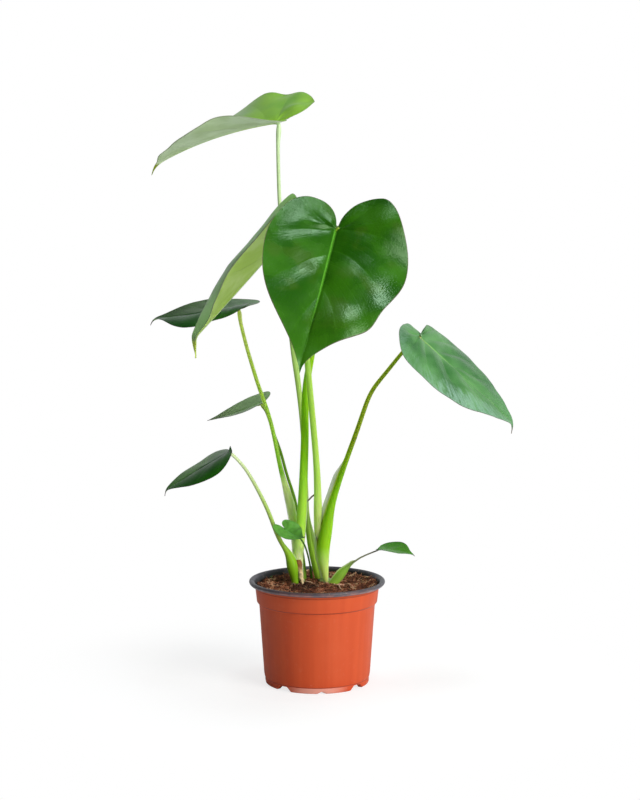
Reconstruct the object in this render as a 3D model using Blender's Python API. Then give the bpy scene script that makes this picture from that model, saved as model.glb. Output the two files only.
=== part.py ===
"""Potted monstera seedlings: nursery pot, growing mix, two stem crowns, nine leaf stalks, nine blades."""
import math

import bmesh
import bpy
import numpy as np

MM = 0.001
GAP = 0.3                       # clearance between neighbouring pieces, mm

# ---------------------------------------------------------------- pot, mm
RIM_RADIUS = 60.0               # a 12 cm nursery pot
POT_HEIGHT = 91.6
LIP_HEIGHT = 3.2
COLLAR_TOP_RADIUS = 55.0
COLLAR_FOOT_RADIUS = 53.2
COLLAR_FOOT_HEIGHT = 71.5
BODY_TOP_RADIUS = 51.0
BODY_TOP_HEIGHT = 68.0
BODY_FOOT_RADIUS = 45.9
BODY_FOOT_HEIGHT = 8.0
WALL = 1.0
FLOOR_UNDERSIDE = 4.0
FLOOR_TOP = 5.2
FOOT_DROP = 4.0                 # how far the feet stand below the floor plate
CENTRE_PAD_RADIUS = 11.0
POT_STEPS = 72                  # five degrees each
WIDE_NOTCH_AT = -40             # degrees from the front, every quarter turn
SMALL_NOTCH_AT = 5
SMALL_NOTCH_KEEP = 0.55         # the small notch cuts less than half the foot away
DRAIN_COUNT = 8
DRAIN_RADIUS = 3.0
DRAIN_CIRCLE = 27.0
DRAIN_CUT = (2.0, 7.0)          # heights the drain holes are cut between, through the floor
FOOT_INNER = (38.3, 39.5)       # the feet's inner slope, radii
FOOT_OUTER = (42.2, 43.2)       # the feet's outer slope, radii
FOOT_CREASE = (43.8, 45.2)      # the crease between the feet and the wall, radii
LIP_ROLL = 0.9                  # rounding of the rolled lip
LIP_INNER_RADIUS = 57.4

# ---------------------------------------------------------------- soil, mm
SOIL_TOP = 86.6
SOIL_TOP_RADIUS = 53.6

# ---------------------------------------------------------------- blades
BLADE_THICKNESS = 0.8
RIB_DEPTH = 0.8                 # extra depth of the midrib under the blade at the stalk end

# joint: where the stalk meets the blade, mm. heading, pitch, droop, sway, roll, twist: degrees.
# near is the left half seen along the heading, far is the right half; widths and lobes are
# fractions of the length.
LEAVES = {
    "leaf_top": dict(
        joint=(-37.0, 90.0, 496.0), length=140, heading=161, pitch=-8, droop=-21, sway=-10, roll=-10,
        twist=13, fold=(-3, 25), curl=(26, -7), half_width=(0.45, 0.435), lobe=(0.115, 0.195),
        widest=0.18, fullness=0.49, drip=0.06, tip_droop=-40, tip_sway=15,
        wave=(4.0, 2.5), phase=(0.0, -0.09)),
    "leaf_diagonal": dict(
        joint=(-26.4, 28.0, 396.7), length=141, heading=199, pitch=-48, droop=2, sway=-1, roll=3,
        twist=6, fold=(18, 27), curl=(20, -33), half_width=(0.43, 0.43), lobe=(0.18, 0.24),
        widest=0.20, fullness=0.485, drip=0.10, tip_droop=-76, tip_sway=-7,
        wave=(-2.0, -1.0), phase=(-0.1, 0.2)),
    "leaf_front": dict(
        joint=(16.2, -30.0, 399.0), length=146, heading=-109, pitch=-52, droop=4, sway=-1, roll=2,
        twist=-15, fold=(5, 27), curl=(-36, 11), half_width=(0.455, 0.385), lobe=(0.21, 0.185),
        widest=0.26, fullness=0.57, drip=0.065, tip_droop=-25, tip_sway=1,
        wave=(-6.0, 2.0), phase=(-0.03, 0.0)),
    "leaf_left": dict(
        joint=(-72.3, 66.0, 327.5), length=87, heading=172, pitch=-10, droop=5, sway=-12, roll=8,
        twist=-19, fold=(11, 17), curl=(-56, 3), half_width=(0.455, 0.43), lobe=(0.17, 0.21),
        widest=0.26, fullness=0.60, drip=0.07, tip_droop=-64, tip_sway=6,
        wave=(1.0, 0.0), phase=(-0.08, 0.0)),
    "leaf_left_small": dict(
        joint=(-52.0, 68.0, 240.6), length=53, heading=168, pitch=-25, droop=13, sway=2, roll=-5,
        twist=0, fold=(7, 21), curl=(-11, -7), half_width=(0.43, 0.43), lobe=(0.165, 0.19),
        widest=0.20, fullness=0.505, drip=0.07, tip_droop=-7, tip_sway=0,
        wave=(0.0, 0.0), phase=(0.0, 0.0)),
    "leaf_low_left": dict(
        joint=(-77.7, -8.0, 205.9), length=70, heading=173, pitch=-31, droop=-1, sway=6, roll=3,
        twist=-18, fold=(3, 11), curl=(-45, -11), half_width=(0.435, 0.43), lobe=(0.115, 0.02),
        widest=0.21, fullness=0.49, drip=0.065, tip_droop=-53, tip_sway=-7,
        wave=(-1.0, 1.5), phase=(0.16, -0.06)),
    "leaf_right": dict(
        joint=(90.4, 0.0, 307.7), length=122, heading=-7, pitch=-42, droop=-1, sway=14, roll=10,
        twist=14, fold=(9, 2), curl=(-17, -30), half_width=(0.405, 0.41), lobe=(0.02, 0.135),
        widest=0.205, fullness=0.60, drip=0.05, tip_droop=-60, tip_sway=26,
        wave=(0.0, 1.5), phase=(0.0, -0.18)),
    "leaf_juvenile": dict(
        joint=(-27.6, -16.0, 139.5), length=24, heading=-41, pitch=-30, droop=37, sway=-1, roll=20,
        twist=9, fold=(16, 5), curl=(-17, 19), half_width=(0.49, 0.51), lobe=(0.36, 0.375),
        widest=0.195, fullness=0.50, drip=0.08, tip_droop=24, tip_sway=9,
        wave=(0.5, 0.0), phase=(0.16, 0.0)),
    "leaf_low_right": dict(
        joint=(53.6, 0.0, 118.5), length=35, heading=-17, pitch=6, droop=-22, sway=-4, roll=-3,
        twist=16, fold=(8, 10), curl=(22, -6), half_width=(0.38, 0.36), lobe=(0.0, 0.0),
        widest=0.425, fullness=0.475, drip=0.075, tip_droop=-26, tip_sway=-9,
        wave=(0.0, 0.0), phase=(0.0, 0.0)),
}

# ---------------------------------------------------------------- stalks, mm
# path: points the stalk passes through from the crown up. radii: at the base, where the
# sheath ends and at the blade. sheath: height of the sheath as a fraction of the length.
STALKS = {
    "stalk_front": dict(
        leaf="leaf_front", radii=(4.6, 2.9, 2.2), sheath=0.42,
        path=[(-17, 11, 81), (-17, 11, 110), (-13.5, 11, 149), (-11, 10, 208),
              (-10, 9, 256), (-4, 6, 295), (7, -10, 356)]),
    "stalk_low_left": dict(
        leaf="leaf_low_left", radii=(4.4, 1.7, 1.3), sheath=0.32,
        path=[(-18, 3, 81), (-23, 2, 108), (-33, 0, 129), (-43, -3, 156),
              (-60, -6, 187), (-71, -8, 201)]),
    "stalk_left": dict(
        leaf="leaf_left", radii=(3.4, 2.0, 1.6), sheath=0.38,
        path=[(-16.5, 22, 81), (-21, 23, 141), (-30, 27, 181), (-42, 36, 229),
              (-55, 48, 266), (-68, 63, 310)]),
    "stalk_left_small": dict(
        leaf="leaf_left_small", radii=(2.2, 1.5, 1.2), sheath=0.30,
        path=[(-11, 20, 81), (-15, 25, 125), (-20.5, 32, 156), (-30, 45, 186),
              (-38, 57, 209), (-46, 66, 232)]),
    "stalk_right": dict(
        leaf="leaf_right", radii=(4.6, 2.3, 1.5), sheath=0.42,
        path=[(9, 6, 81), (7.5, 6, 114), (11, 5, 148), (20, 4, 180),
              (32, 2, 215), (45, 1, 249), (63, 0, 278)]),
    "stalk_diagonal": dict(
        leaf="leaf_diagonal", radii=(3.8, 2.9, 2.3), sheath=0.40,
        path=[(4, 13, 81), (1.5, 9, 134), (-2, 2, 208), (-7, -3, 269), (-14, 10, 338)]),
    "stalk_top": dict(
        leaf="leaf_top", radii=(2.8, 2.0, 1.7), sheath=0.20,
        path=[(2, 21.5, 81), (-7, 26, 131), (-14, 44, 238), (-21, 60, 296),
              (-30, 76, 362), (-34, 84, 420), (-35.5, 88, 470)]),
    "stalk_low_right": dict(
        leaf="leaf_low_right", radii=(3.2, 0.8, 0.6), sheath=0.62,
        path=[(14, 6, 81), (23, 4, 99), (35, 2, 108.5), (43, 1, 113)]),
    "stalk_juvenile": dict(
        leaf="leaf_juvenile", radii=(1.4, 0.8, 0.7), sheath=0.35,
        path=[(-4, 19, 81), (-6.5, 12, 103), (-11, 0, 122), (-18, -9, 133)]),
}

# stem crowns at soil level, mm: centre, radius, foot and top heights
CROWNS = {
    "crown_left": dict(centre=(-16.5, 11.5), radius=6.5, foot=68, top=90.5),
    "crown_right": dict(centre=(7.5, 11.0), radius=7.0, foot=68, top=91.5),
}

# the stalks of each clump, from the first one set to the last
CLUMPS = {
    "crown_left": ["stalk_front", "stalk_low_left", "stalk_left", "stalk_left_small"],
    "crown_right": ["stalk_right", "stalk_diagonal", "stalk_top", "stalk_low_right"],
}

# a stub of dried sheath and root between the two stalks of the left clump
STUB_PATH = [(-17.0, 3.5, 104.0), (-15.5, 2.0, 98.0), (-13.5, 0.5, 88.0), (-12.5, -0.5, 83.0)]
STUB_RADII = (2.4, 1.2)

# thin roots lying on the soil, mm: start, middle and end in plan
ROOT_RADIUS = 0.55
SURFACE_ROOTS = {
    "root_left": [(-10.0, 4.5), (-5.5, -1.0), (-2.0, -6.5)],
    "root_front": [(15.5, -3.0), (19.0, -13.0), (23.0, -24.0)],
    "root_right": [(17.5, -6.0), (24.0, -1.5), (32.0, -12.0)],
}

SEEDLING_AT = (-41.0, 24.0)
SEEDLING_HEIGHT = 4.5

COLOURS = {
    "pot": (0.52, 0.10, 0.035), "soil": (0.06, 0.028, 0.014), "crown": (0.36, 0.40, 0.16),
    "stalk": (0.20, 0.42, 0.04), "stub": (0.35, 0.20, 0.07), "root": (0.40, 0.21, 0.12),
    "seedling": (0.16, 0.30, 0.06), "leaf": (0.05, 0.20, 0.025), "leaf_top": (0.20, 0.36, 0.10),
}
ROUGHNESS = {"pot": 0.55, "soil": 0.95, "leaf": 0.35, "leaf_top": 0.45}


def clear_scene():
    """Start from an empty file."""
    for old in list(bpy.data.objects):
        bpy.data.objects.remove(old, do_unlink=True)


def material(name):
    """One plain material for one node."""
    kind = name if name in COLOURS else name.split("_")[0]
    mat = bpy.data.materials.new(name + "_material")
    mat.use_nodes = True
    shader = mat.node_tree.nodes["Principled BSDF"]
    shader.inputs["Base Color"].default_value = (*COLOURS[kind], 1.0)
    shader.inputs["Roughness"].default_value = ROUGHNESS.get(kind, 0.5)
    return mat


def add_object(name, points, faces, smooth=True):
    """A closed mesh from points in mm, with outward faces."""
    mesh = bpy.data.meshes.new(name)
    mesh.from_pydata([tuple(float(c) * MM for c in p) for p in points], [], faces)
    bm = bmesh.new()
    bm.from_mesh(mesh)
    bmesh.ops.remove_doubles(bm, verts=bm.verts, dist=0.00001)
    bmesh.ops.dissolve_degenerate(bm, dist=0.000005, edges=bm.edges)
    bmesh.ops.recalc_face_normals(bm, faces=bm.faces)
    bm.to_mesh(mesh)
    bm.free()
    mesh.polygons.foreach_set("use_smooth", [smooth] * len(mesh.polygons))
    obj = bpy.data.objects.new(name, mesh)
    bpy.context.scene.collection.objects.link(obj)
    mesh.materials.append(material(name))
    return obj


def cut(target, cutter):
    """Take the cutter out of the target and throw the cutter away."""
    step = target.modifiers.new("cut", "BOOLEAN")
    step.operation = "DIFFERENCE"
    step.solver = "EXACT"
    step.object = cutter
    bpy.context.view_layer.update()
    shaped = bpy.data.meshes.new_from_object(target.evaluated_get(bpy.context.evaluated_depsgraph_get()))
    target.modifiers.clear()
    old = target.data
    target.data = shaped
    bpy.data.meshes.remove(old)
    shell = cutter.data
    bpy.data.objects.remove(cutter, do_unlink=True)
    bpy.data.meshes.remove(shell)
    bm = bmesh.new()
    bm.from_mesh(shaped)
    bmesh.ops.remove_doubles(bm, verts=bm.verts, dist=0.00002)
    bmesh.ops.dissolve_degenerate(bm, dist=0.00001, edges=bm.edges)
    bm.to_mesh(shaped)
    bm.free()


def label(name, grow):
    """The name of a piece, or of the cutter that is the piece grown by a clearance."""
    return name + "_cutter" if grow else name


# ---------------------------------------------------------------- turned pieces
def foot_amount(angle):
    """1 on the feet of the pot, less in the notches; angle in degrees from the front."""
    wide = abs((angle - WIDE_NOTCH_AT + 45) % 90 - 45)
    small = abs((angle - SMALL_NOTCH_AT + 45) % 90 - 45)
    amount = min(max((wide - 5.0) / 5.0, 0.0), 1.0)
    return min(amount, SMALL_NOTCH_KEEP + (1 - SMALL_NOTCH_KEEP) * min(small / 5.0, 1.0))


def turned(name, profile, steps, centre=(0.0, 0.0)):
    """Turn a profile of (radius, height, foot share); it starts and ends on the axis."""
    points = []
    rings = []
    for radius, height, share in profile:
        if radius == 0.0:
            points.append((centre[0], centre[1], height))
            rings.append([len(points) - 1] * steps)
            continue
        ring = []
        for k in range(steps):
            degrees = 360.0 * k / steps
            turn = math.radians(degrees)
            drop = share * FOOT_DROP * foot_amount(degrees) if share else 0.0
            ring.append(len(points))
            points.append((centre[0] + radius * math.sin(turn), centre[1] - radius * math.cos(turn), height - drop))
        rings.append(ring)
    faces = []
    for low, high in zip(rings, rings[1:]):
        for k in range(steps):
            n = (k + 1) % steps
            face = [low[k], low[n], high[n], high[k]]
            faces.append([v for i, v in enumerate(face) if v not in face[:i]])
    return add_object(name, points, faces)


def pot_outside():
    """Underside and outer wall, from the centre pad to the top of the lip."""
    top = POT_HEIGHT
    return [
        (0.0, 0.0, 0), (CENTRE_PAD_RADIUS, 0.0, 0), (CENTRE_PAD_RADIUS + 2, FLOOR_UNDERSIDE, 0),
        (FOOT_INNER[0], FLOOR_UNDERSIDE, 0), (FOOT_INNER[1], FLOOR_UNDERSIDE, 1),
        (FOOT_OUTER[0], FLOOR_UNDERSIDE, 1), (FOOT_OUTER[1], FLOOR_UNDERSIDE + 0.6, 0.9),
        (FOOT_CREASE[0], FLOOR_TOP, 0), (FOOT_CREASE[1], FLOOR_TOP + 0.5, 0),
        (BODY_FOOT_RADIUS, BODY_FOOT_HEIGHT, 0), (BODY_TOP_RADIUS, BODY_TOP_HEIGHT, 0),
        (COLLAR_FOOT_RADIUS, COLLAR_FOOT_HEIGHT, 0), (COLLAR_TOP_RADIUS, top - LIP_HEIGHT, 0),
        (RIM_RADIUS - LIP_ROLL, top - LIP_HEIGHT, 0), (RIM_RADIUS, top - LIP_HEIGHT + LIP_ROLL, 0),
        (RIM_RADIUS, top - LIP_ROLL, 0), (RIM_RADIUS - LIP_ROLL, top, 0),
    ]


def pot_inside(clear):
    """Inner wall and floor from the lip down, moved inwards and up by a clearance."""
    floor = FLOOR_TOP + clear
    foot_in = FOOT_INNER[0] + 0.6 + clear
    foot_out = FOOT_OUTER[0] - 0.6 - clear
    crease = FOOT_CREASE[0] - WALL - clear
    return [
        (COLLAR_TOP_RADIUS - WALL - clear, POT_HEIGHT - LIP_HEIGHT - 2.0, 0),
        (COLLAR_FOOT_RADIUS - WALL - clear, COLLAR_FOOT_HEIGHT + 0.4, 0),
        (BODY_TOP_RADIUS - WALL - clear, BODY_TOP_HEIGHT + 0.2, 0),
        (BODY_FOOT_RADIUS - WALL - clear, BODY_FOOT_HEIGHT + 0.2 + clear, 0),
        (FOOT_CREASE[1] - WALL - clear, floor + 1.2, 0), (crease, floor + 0.7, 0),
        (foot_out, floor, 1), (foot_in + 1.2, floor, 1), (foot_in, floor, 0),
        (CENTRE_PAD_RADIUS + 1.4 - clear, floor, 0),
        (CENTRE_PAD_RADIUS - 0.6 - clear, WALL + clear, 0), (0.0, WALL + clear, 0),
    ]


def build_pot():
    """One thin moulded wall with a rolled lip, a floor with drain holes and notched feet."""
    lip = [(LIP_INNER_RADIUS, POT_HEIGHT, 0), (COLLAR_TOP_RADIUS + 0.6, POT_HEIGHT - 1.0, 0)]
    pot = turned("pot", pot_outside() + lip + pot_inside(0.0), POT_STEPS)
    for k in range(DRAIN_COUNT):
        turn = 2 * math.pi * k / DRAIN_COUNT
        middle = (DRAIN_CIRCLE * math.cos(turn), DRAIN_CIRCLE * math.sin(turn))
        low, high = DRAIN_CUT
        hole = [(0.0, low, 0), (DRAIN_RADIUS, low, 0), (DRAIN_RADIUS, high, 0), (0.0, high, 0)]
        cut(pot, turned("pot_drain_cutter", hole, 12, middle))
    return pot


def build_soil():
    """Growing mix filling the pot to just under the lip, with a rounded upper edge."""
    surface = [(0.0, SOIL_TOP, 0), (SOIL_TOP_RADIUS - 1.2, SOIL_TOP, 0), (SOIL_TOP_RADIUS, SOIL_TOP - 0.8, 0)]
    return turned("soil", surface + pot_inside(GAP)[1:], POT_STEPS)


def build_crown(name, grow=0.0):
    """A short fleshy stem, domed at the top, mostly buried."""
    spec = CROWNS[name]
    radius = spec["radius"] + grow
    foot = spec["foot"] - grow
    top = spec["top"] + grow
    profile = [(0.0, foot, 0), (radius - 1.5, foot, 0), (radius, foot + 2.5, 0), (radius, top - 5.0, 0),
               (radius * 0.82, top - 2.2, 0), (radius * 0.48, top - 0.6, 0), (0.0, top, 0)]
    return turned(label(name, grow), profile, 20, spec["centre"])


# ---------------------------------------------------------------- blades
def bezier(a, b, c, d, count):
    """Points of a cubic Bezier curve without its last point."""
    t = np.linspace(0.0, 1.0, count, endpoint=False)[:, None]
    a, b, c, d = (np.array(p, float) for p in (a, b, c, d))
    return (1 - t) ** 3 * a + 3 * (1 - t) ** 2 * t * b + 3 * (1 - t) * t ** 2 * c + t ** 3 * d


def half_outline(width, lobe, leaf, counts):
    """Half a heart: notch, round the lobe, widest place, shoulder and drip tip; unit length."""
    widest = leaf["widest"]
    shoulder = 1.0 - leaf["drip"]
    back = (-lobe, 0.46 * width)
    rows = [
        bezier((0, 0), (-0.55 * lobe, 0.004), (-lobe, 0.12 * width), back, counts[0]),
        bezier(back, (-lobe, 0.80 * width), (0.442 * widest - 0.558 * lobe, width), (widest, width), counts[1]),
        bezier((widest, width), (widest + 0.62 * leaf["fullness"], width),
               (shoulder - 0.20, 0.262 * width + 0.02), (shoulder, 0.022), counts[2]),
        bezier((shoulder, 0.022), (shoulder + 0.3 * leaf["drip"], 0.010),
               (shoulder + 0.6 * leaf["drip"], 0.006), (1.0, 0.0), counts[3]),
        np.array([[1.0, 0.0]]),
    ]
    return np.vstack(rows)


def vein_roots(leaf, counts):
    """Where the side veins leave the midrib, the same places for both halves."""
    width = sum(leaf["half_width"]) / 2
    lobe = sum(leaf["lobe"]) / 2
    middle = half_outline(width, lobe, leaf, counts)
    lead = middle[:, 0] - 0.38 * middle[:, 1]
    root = 0.5 * (lead + np.sqrt(lead ** 2 + 0.0016)) - 0.02
    root = np.clip(root - root[0], 0.0, 1.0)
    root[-1] = 1.0
    return np.maximum.accumulate(root)


def half_grid(outline, root, across):
    """Flat places of one half: rows run like the side veins from the midrib to the margin."""
    share = np.linspace(0.0, 1.0, across + 1)
    along = root[:, None] + (outline[:, 0] - root)[:, None] * share[None, :] ** 1.25
    out = outline[:, 1][:, None] * share[None, :]
    return along, out


def midrib_frame(leaf, along):
    """Centre, forward, left and up directions at places along the midrib (unit length)."""
    s = np.linspace(0.0, 1.0, 65)
    tip = np.clip((s - 0.86) / 0.14, 0.0, 1.0)
    tip = tip * tip * (3 - 2 * tip)
    pitch = np.radians(leaf["pitch"] + leaf["droop"] * s + leaf["tip_droop"] * tip)
    heading = np.radians(leaf["heading"] + leaf["sway"] * s + leaf["tip_sway"] * tip)
    forward = np.stack([np.cos(pitch) * np.cos(heading), np.cos(pitch) * np.sin(heading), np.sin(pitch)], -1)
    steps = 0.5 * (forward[1:] + forward[:-1]) / 64
    centre = np.vstack([[0.0, 0.0, 0.0], np.cumsum(steps, 0)])
    inside = np.clip(along, 0.0, 1.0)
    place = np.stack([np.interp(inside, s, centre[:, k]) for k in range(3)], -1)
    ahead = np.stack([np.interp(inside, s, forward[:, k]) for k in range(3)], -1)
    ahead /= np.linalg.norm(ahead, axis=-1, keepdims=True)
    place = place + np.minimum(along, 0.0)[..., None] * forward[0]
    left = np.stack([-ahead[..., 1], ahead[..., 0], np.zeros_like(ahead[..., 0])], -1)
    left /= np.linalg.norm(left, axis=-1, keepdims=True)
    up = np.cross(ahead, left)
    roll = np.radians(leaf["roll"] + leaf["twist"] * along)[..., None]
    return place, ahead, left * np.cos(roll) + up * np.sin(roll), up * np.cos(roll) - left * np.sin(roll)


def bend(leaf, half, along, out):
    """Carry flat places of a half (0 left, 1 right) onto the folded, curled and waved blade, mm."""
    length = leaf["length"]
    width = leaf["half_width"][half] * length
    place, _, left, up = midrib_frame(leaf, along)
    fold = math.radians(leaf["fold"][half])
    curl = math.radians(leaf["curl"][half] or 0.01) / width
    v = out * length
    side = (np.sin(fold + curl * v) - math.sin(fold)) / curl
    rise = (math.cos(fold) - np.cos(fold + curl * v)) / curl
    wave = leaf["wave"][half] * np.sin(2 * math.pi * (1.5 * along + leaf["phase"][half]))
    rise = rise + wave * np.clip(v / width, 0.0, 1.0) ** 2
    sign = 1.0 if half == 0 else -1.0
    joint = np.array(leaf["joint"], float)
    return joint + place * length + left * (sign * side)[..., None] + up * rise[..., None], up


def sheet_faces(shape, start):
    """Upper faces, lower faces and the margin strip of a half laid out as a grid of places."""
    rows, cols = shape
    under = start + rows * cols
    faces = []
    for i in range(rows - 1):
        for j in range(cols - 1):
            ring = [i * cols + j, (i + 1) * cols + j, (i + 1) * cols + j + 1, i * cols + j + 1]
            faces.append([start + k for k in ring])
            faces.append([under + k for k in reversed(ring)])
        edge = (i + 1) * cols - 1
        faces.append([start + edge, start + edge + cols, under + edge + cols, under + edge])
    return faces


def build_leaf(name):
    """A thin closed blade with a midrib standing out underneath."""
    leaf = LEAVES[name]
    large = leaf["length"] > 60
    counts = (3, 3, 7, 2) if large else (2, 2, 5, 1)
    across = 4 if large else 3
    root = vein_roots(leaf, counts)
    points = []
    faces = []
    for half in (0, 1):
        outline = half_outline(leaf["half_width"][half], leaf["lobe"][half], leaf, counts)
        along, out = half_grid(outline, root, across)
        top, up = bend(leaf, half, along, out)
        depth = np.full(along.shape, BLADE_THICKNESS)
        depth[:, 0] += RIB_DEPTH * (1.0 - 0.8 * np.clip(along[:, 0], 0.0, 1.0))
        low = top - up * depth[..., None]
        faces += sheet_faces(along.shape, len(points))
        points += [tuple(p) for p in top.reshape(-1, 3)] + [tuple(p) for p in low.reshape(-1, 3)]
    return add_object(name, points, faces)


# ---------------------------------------------------------------- stalks
def smooth_path(points, count):
    """A smooth curve through the points, evenly spaced along its length."""
    p = np.array(points, float)
    p = np.vstack([2 * p[0] - p[1], p, 2 * p[-1] - p[-2]])
    fine = []
    for k in range(1, len(p) - 2):
        t = np.linspace(0.0, 1.0, 24, endpoint=False)[:, None]
        a, b, c, d = p[k - 1], p[k], p[k + 1], p[k + 2]
        fine.append(0.5 * (2 * b + (c - a) * t + (2 * a - 5 * b + 4 * c - d) * t ** 2
                           + (3 * b - a - 3 * c + d) * t ** 3))
    fine = np.vstack(fine + [p[-2][None, :]])
    walked = np.concatenate([[0.0], np.cumsum(np.linalg.norm(np.diff(fine, axis=0), axis=1))])
    even = np.linspace(0.0, walked[-1], count)
    return np.stack([np.interp(even, walked, fine[:, k]) for k in range(3)], -1)


def tube(name, path, radii, sides):
    """A round stalk along a path with a radius at every place."""
    ahead = np.gradient(path, axis=0)
    ahead /= np.linalg.norm(ahead, axis=1, keepdims=True)
    across = np.cross(ahead[0], (0.0, 1.0, 0.0))
    points = []
    for place, way, radius in zip(path, ahead, radii):
        across = across - way * np.dot(across, way)
        across = across / np.linalg.norm(across)
        other = np.cross(way, across)
        for k in range(sides):
            turn = 2 * math.pi * k / sides
            points.append(place + radius * (math.cos(turn) * across + math.sin(turn) * other))
    faces = []
    for i in range(len(path) - 1):
        for k in range(sides):
            n = (k + 1) % sides
            faces.append([i * sides + k, i * sides + n, (i + 1) * sides + n, (i + 1) * sides + k])
    faces.append(list(reversed(range(sides))))
    faces.append([(len(path) - 1) * sides + k for k in range(sides)])
    return add_object(name, points, faces)


def stalk_end(spec):
    """The place just under the blade where the stalk stops."""
    leaf = LEAVES[spec["leaf"]]
    _, ahead, _, up = midrib_frame(leaf, np.array([0.0]))
    joint = np.array(leaf["joint"], float)
    tip_radius = spec["radii"][2]
    last = np.array(spec["path"][-1], float)
    way = (joint - last) / np.linalg.norm(joint - last)
    lean = math.sqrt(max(0.0, 1.0 - float(np.dot(way, up[0])) ** 2))
    if leaf["lobe"][0] == 0.0:
        return joint - ahead[0] * (GAP + tip_radius * 0.5)
    return joint - up[0] * (BLADE_THICKNESS + RIB_DEPTH + GAP + tip_radius * lean)


def build_stalk(name, grow=0.0):
    """A leaf stalk: broad sheathing base, slender stem, ending under its blade."""
    spec = STALKS[name]
    base, middle, tip = spec["radii"]
    long_one = LEAVES[spec["leaf"]]["length"] > 60
    path = smooth_path(spec["path"] + [tuple(stalk_end(spec))], 16 if long_one else 12)
    t = np.linspace(0.0, 1.0, len(path))
    sheath = spec["sheath"]
    low = np.clip(1.0 - t / sheath, 0.0, 1.0)
    low = low * low * (3 - 2 * low)
    high = np.clip((t - sheath) / (1.0 - sheath), 0.0, 1.0)
    radii = middle + (base - middle) * low + (tip - middle) * high + grow
    if grow:
        first = (path[0] - path[1]) / np.linalg.norm(path[0] - path[1])
        path[0] = path[0] + first * grow
    return tube(label(name, grow), path, radii, 8 if long_one else 6)


def build_stub(name, grow=0.0):
    """A dried stub of sheath and root between two stalks."""
    path = smooth_path(STUB_PATH, 7)
    radii = np.linspace(STUB_RADII[0], STUB_RADII[1], 7) + grow
    return tube(label(name, grow), path, radii, 8)


def trim(piece, neighbours):
    """Cut a clearance for every neighbour that was set before the piece."""
    for name in neighbours:
        if name in CROWNS:
            cut(piece, build_crown(name, GAP))
        elif name in STALKS:
            cut(piece, build_stalk(name, GAP))
        else:
            cut(piece, build_stub(name, GAP))


def build_clumps():
    """Both seedlings: every stalk is trimmed by its crown and by the stalks set before it."""
    planted = []
    for crown, stalks in CLUMPS.items():
        build_crown(crown)
        clump = [crown]
        for name in stalks:
            trim(build_stalk(name), clump)
            clump.append(name)
        planted += clump
    build_stalk("stalk_juvenile")
    planted.append("stalk_juvenile")
    trim(build_stub("stub"), planted)
    planted.append("stub")
    return planted


def build_roots():
    """Thin roots lying on the growing mix."""
    for name, plan in SURFACE_ROOTS.items():
        height = SOIL_TOP + GAP + ROOT_RADIUS
        path = smooth_path([(x, y, height) for x, y in plan], 9)
        tube(name, path, np.full(9, ROOT_RADIUS), 6)


def build_seedling():
    """A weed seedling's two small leaves standing on the soil near the wall."""
    low = SOIL_TOP + GAP
    profile = [(0.0, low, 0), (0.5, low, 0), (0.6, low + 2.0, 0), (1.7, low + 3.6, 0),
               (1.4, low + SEEDLING_HEIGHT - 0.3, 0), (0.0, low + SEEDLING_HEIGHT - 0.8, 0)]
    turned("seedling", profile, 8, SEEDLING_AT)


def main():
    clear_scene()
    build_pot()
    soil = build_soil()
    trim(soil, build_clumps())
    build_roots()
    build_seedling()
    for name in LEAVES:
        build_leaf(name)


main()
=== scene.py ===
import math

import bmesh
import bpy
import numpy as np
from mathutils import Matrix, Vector


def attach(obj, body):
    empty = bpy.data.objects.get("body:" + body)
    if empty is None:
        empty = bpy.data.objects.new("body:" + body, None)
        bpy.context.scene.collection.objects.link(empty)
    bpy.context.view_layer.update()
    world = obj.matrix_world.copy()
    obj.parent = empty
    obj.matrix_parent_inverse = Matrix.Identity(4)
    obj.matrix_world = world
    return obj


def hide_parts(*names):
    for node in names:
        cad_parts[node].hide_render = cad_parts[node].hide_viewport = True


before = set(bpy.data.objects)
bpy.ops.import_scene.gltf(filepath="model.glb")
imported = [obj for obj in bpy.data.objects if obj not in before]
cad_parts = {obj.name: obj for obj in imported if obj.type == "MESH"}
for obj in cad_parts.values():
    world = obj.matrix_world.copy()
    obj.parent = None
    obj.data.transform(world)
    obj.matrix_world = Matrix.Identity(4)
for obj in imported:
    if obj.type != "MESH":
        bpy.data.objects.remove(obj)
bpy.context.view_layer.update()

MM = 0.001

# ---------------------------------------------------------------- sizes shared with the solids, mm
RIM_RADIUS = 60.0
POT_HEIGHT = 91.6
LIP_HEIGHT = 3.2
COLLAR_TOP_RADIUS = 55.0
COLLAR_FOOT_RADIUS = 53.2
COLLAR_FOOT_HEIGHT = 71.5
BODY_TOP_RADIUS = 51.0
BODY_TOP_HEIGHT = 68.0
BODY_FOOT_RADIUS = 45.9
BODY_FOOT_HEIGHT = 8.0
WALL = 1.0
FLOOR_UNDERSIDE = 4.0
FLOOR_TOP = 5.2
FOOT_DROP = 4.0
CENTRE_PAD_RADIUS = 11.0
WIDE_NOTCH_AT = -40
SMALL_NOTCH_AT = 5
SMALL_NOTCH_KEEP = 0.55
DRAIN_COUNT = 8
DRAIN_RADIUS = 3.0
DRAIN_CIRCLE = 27.0
SOIL_TOP = 86.6

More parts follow.
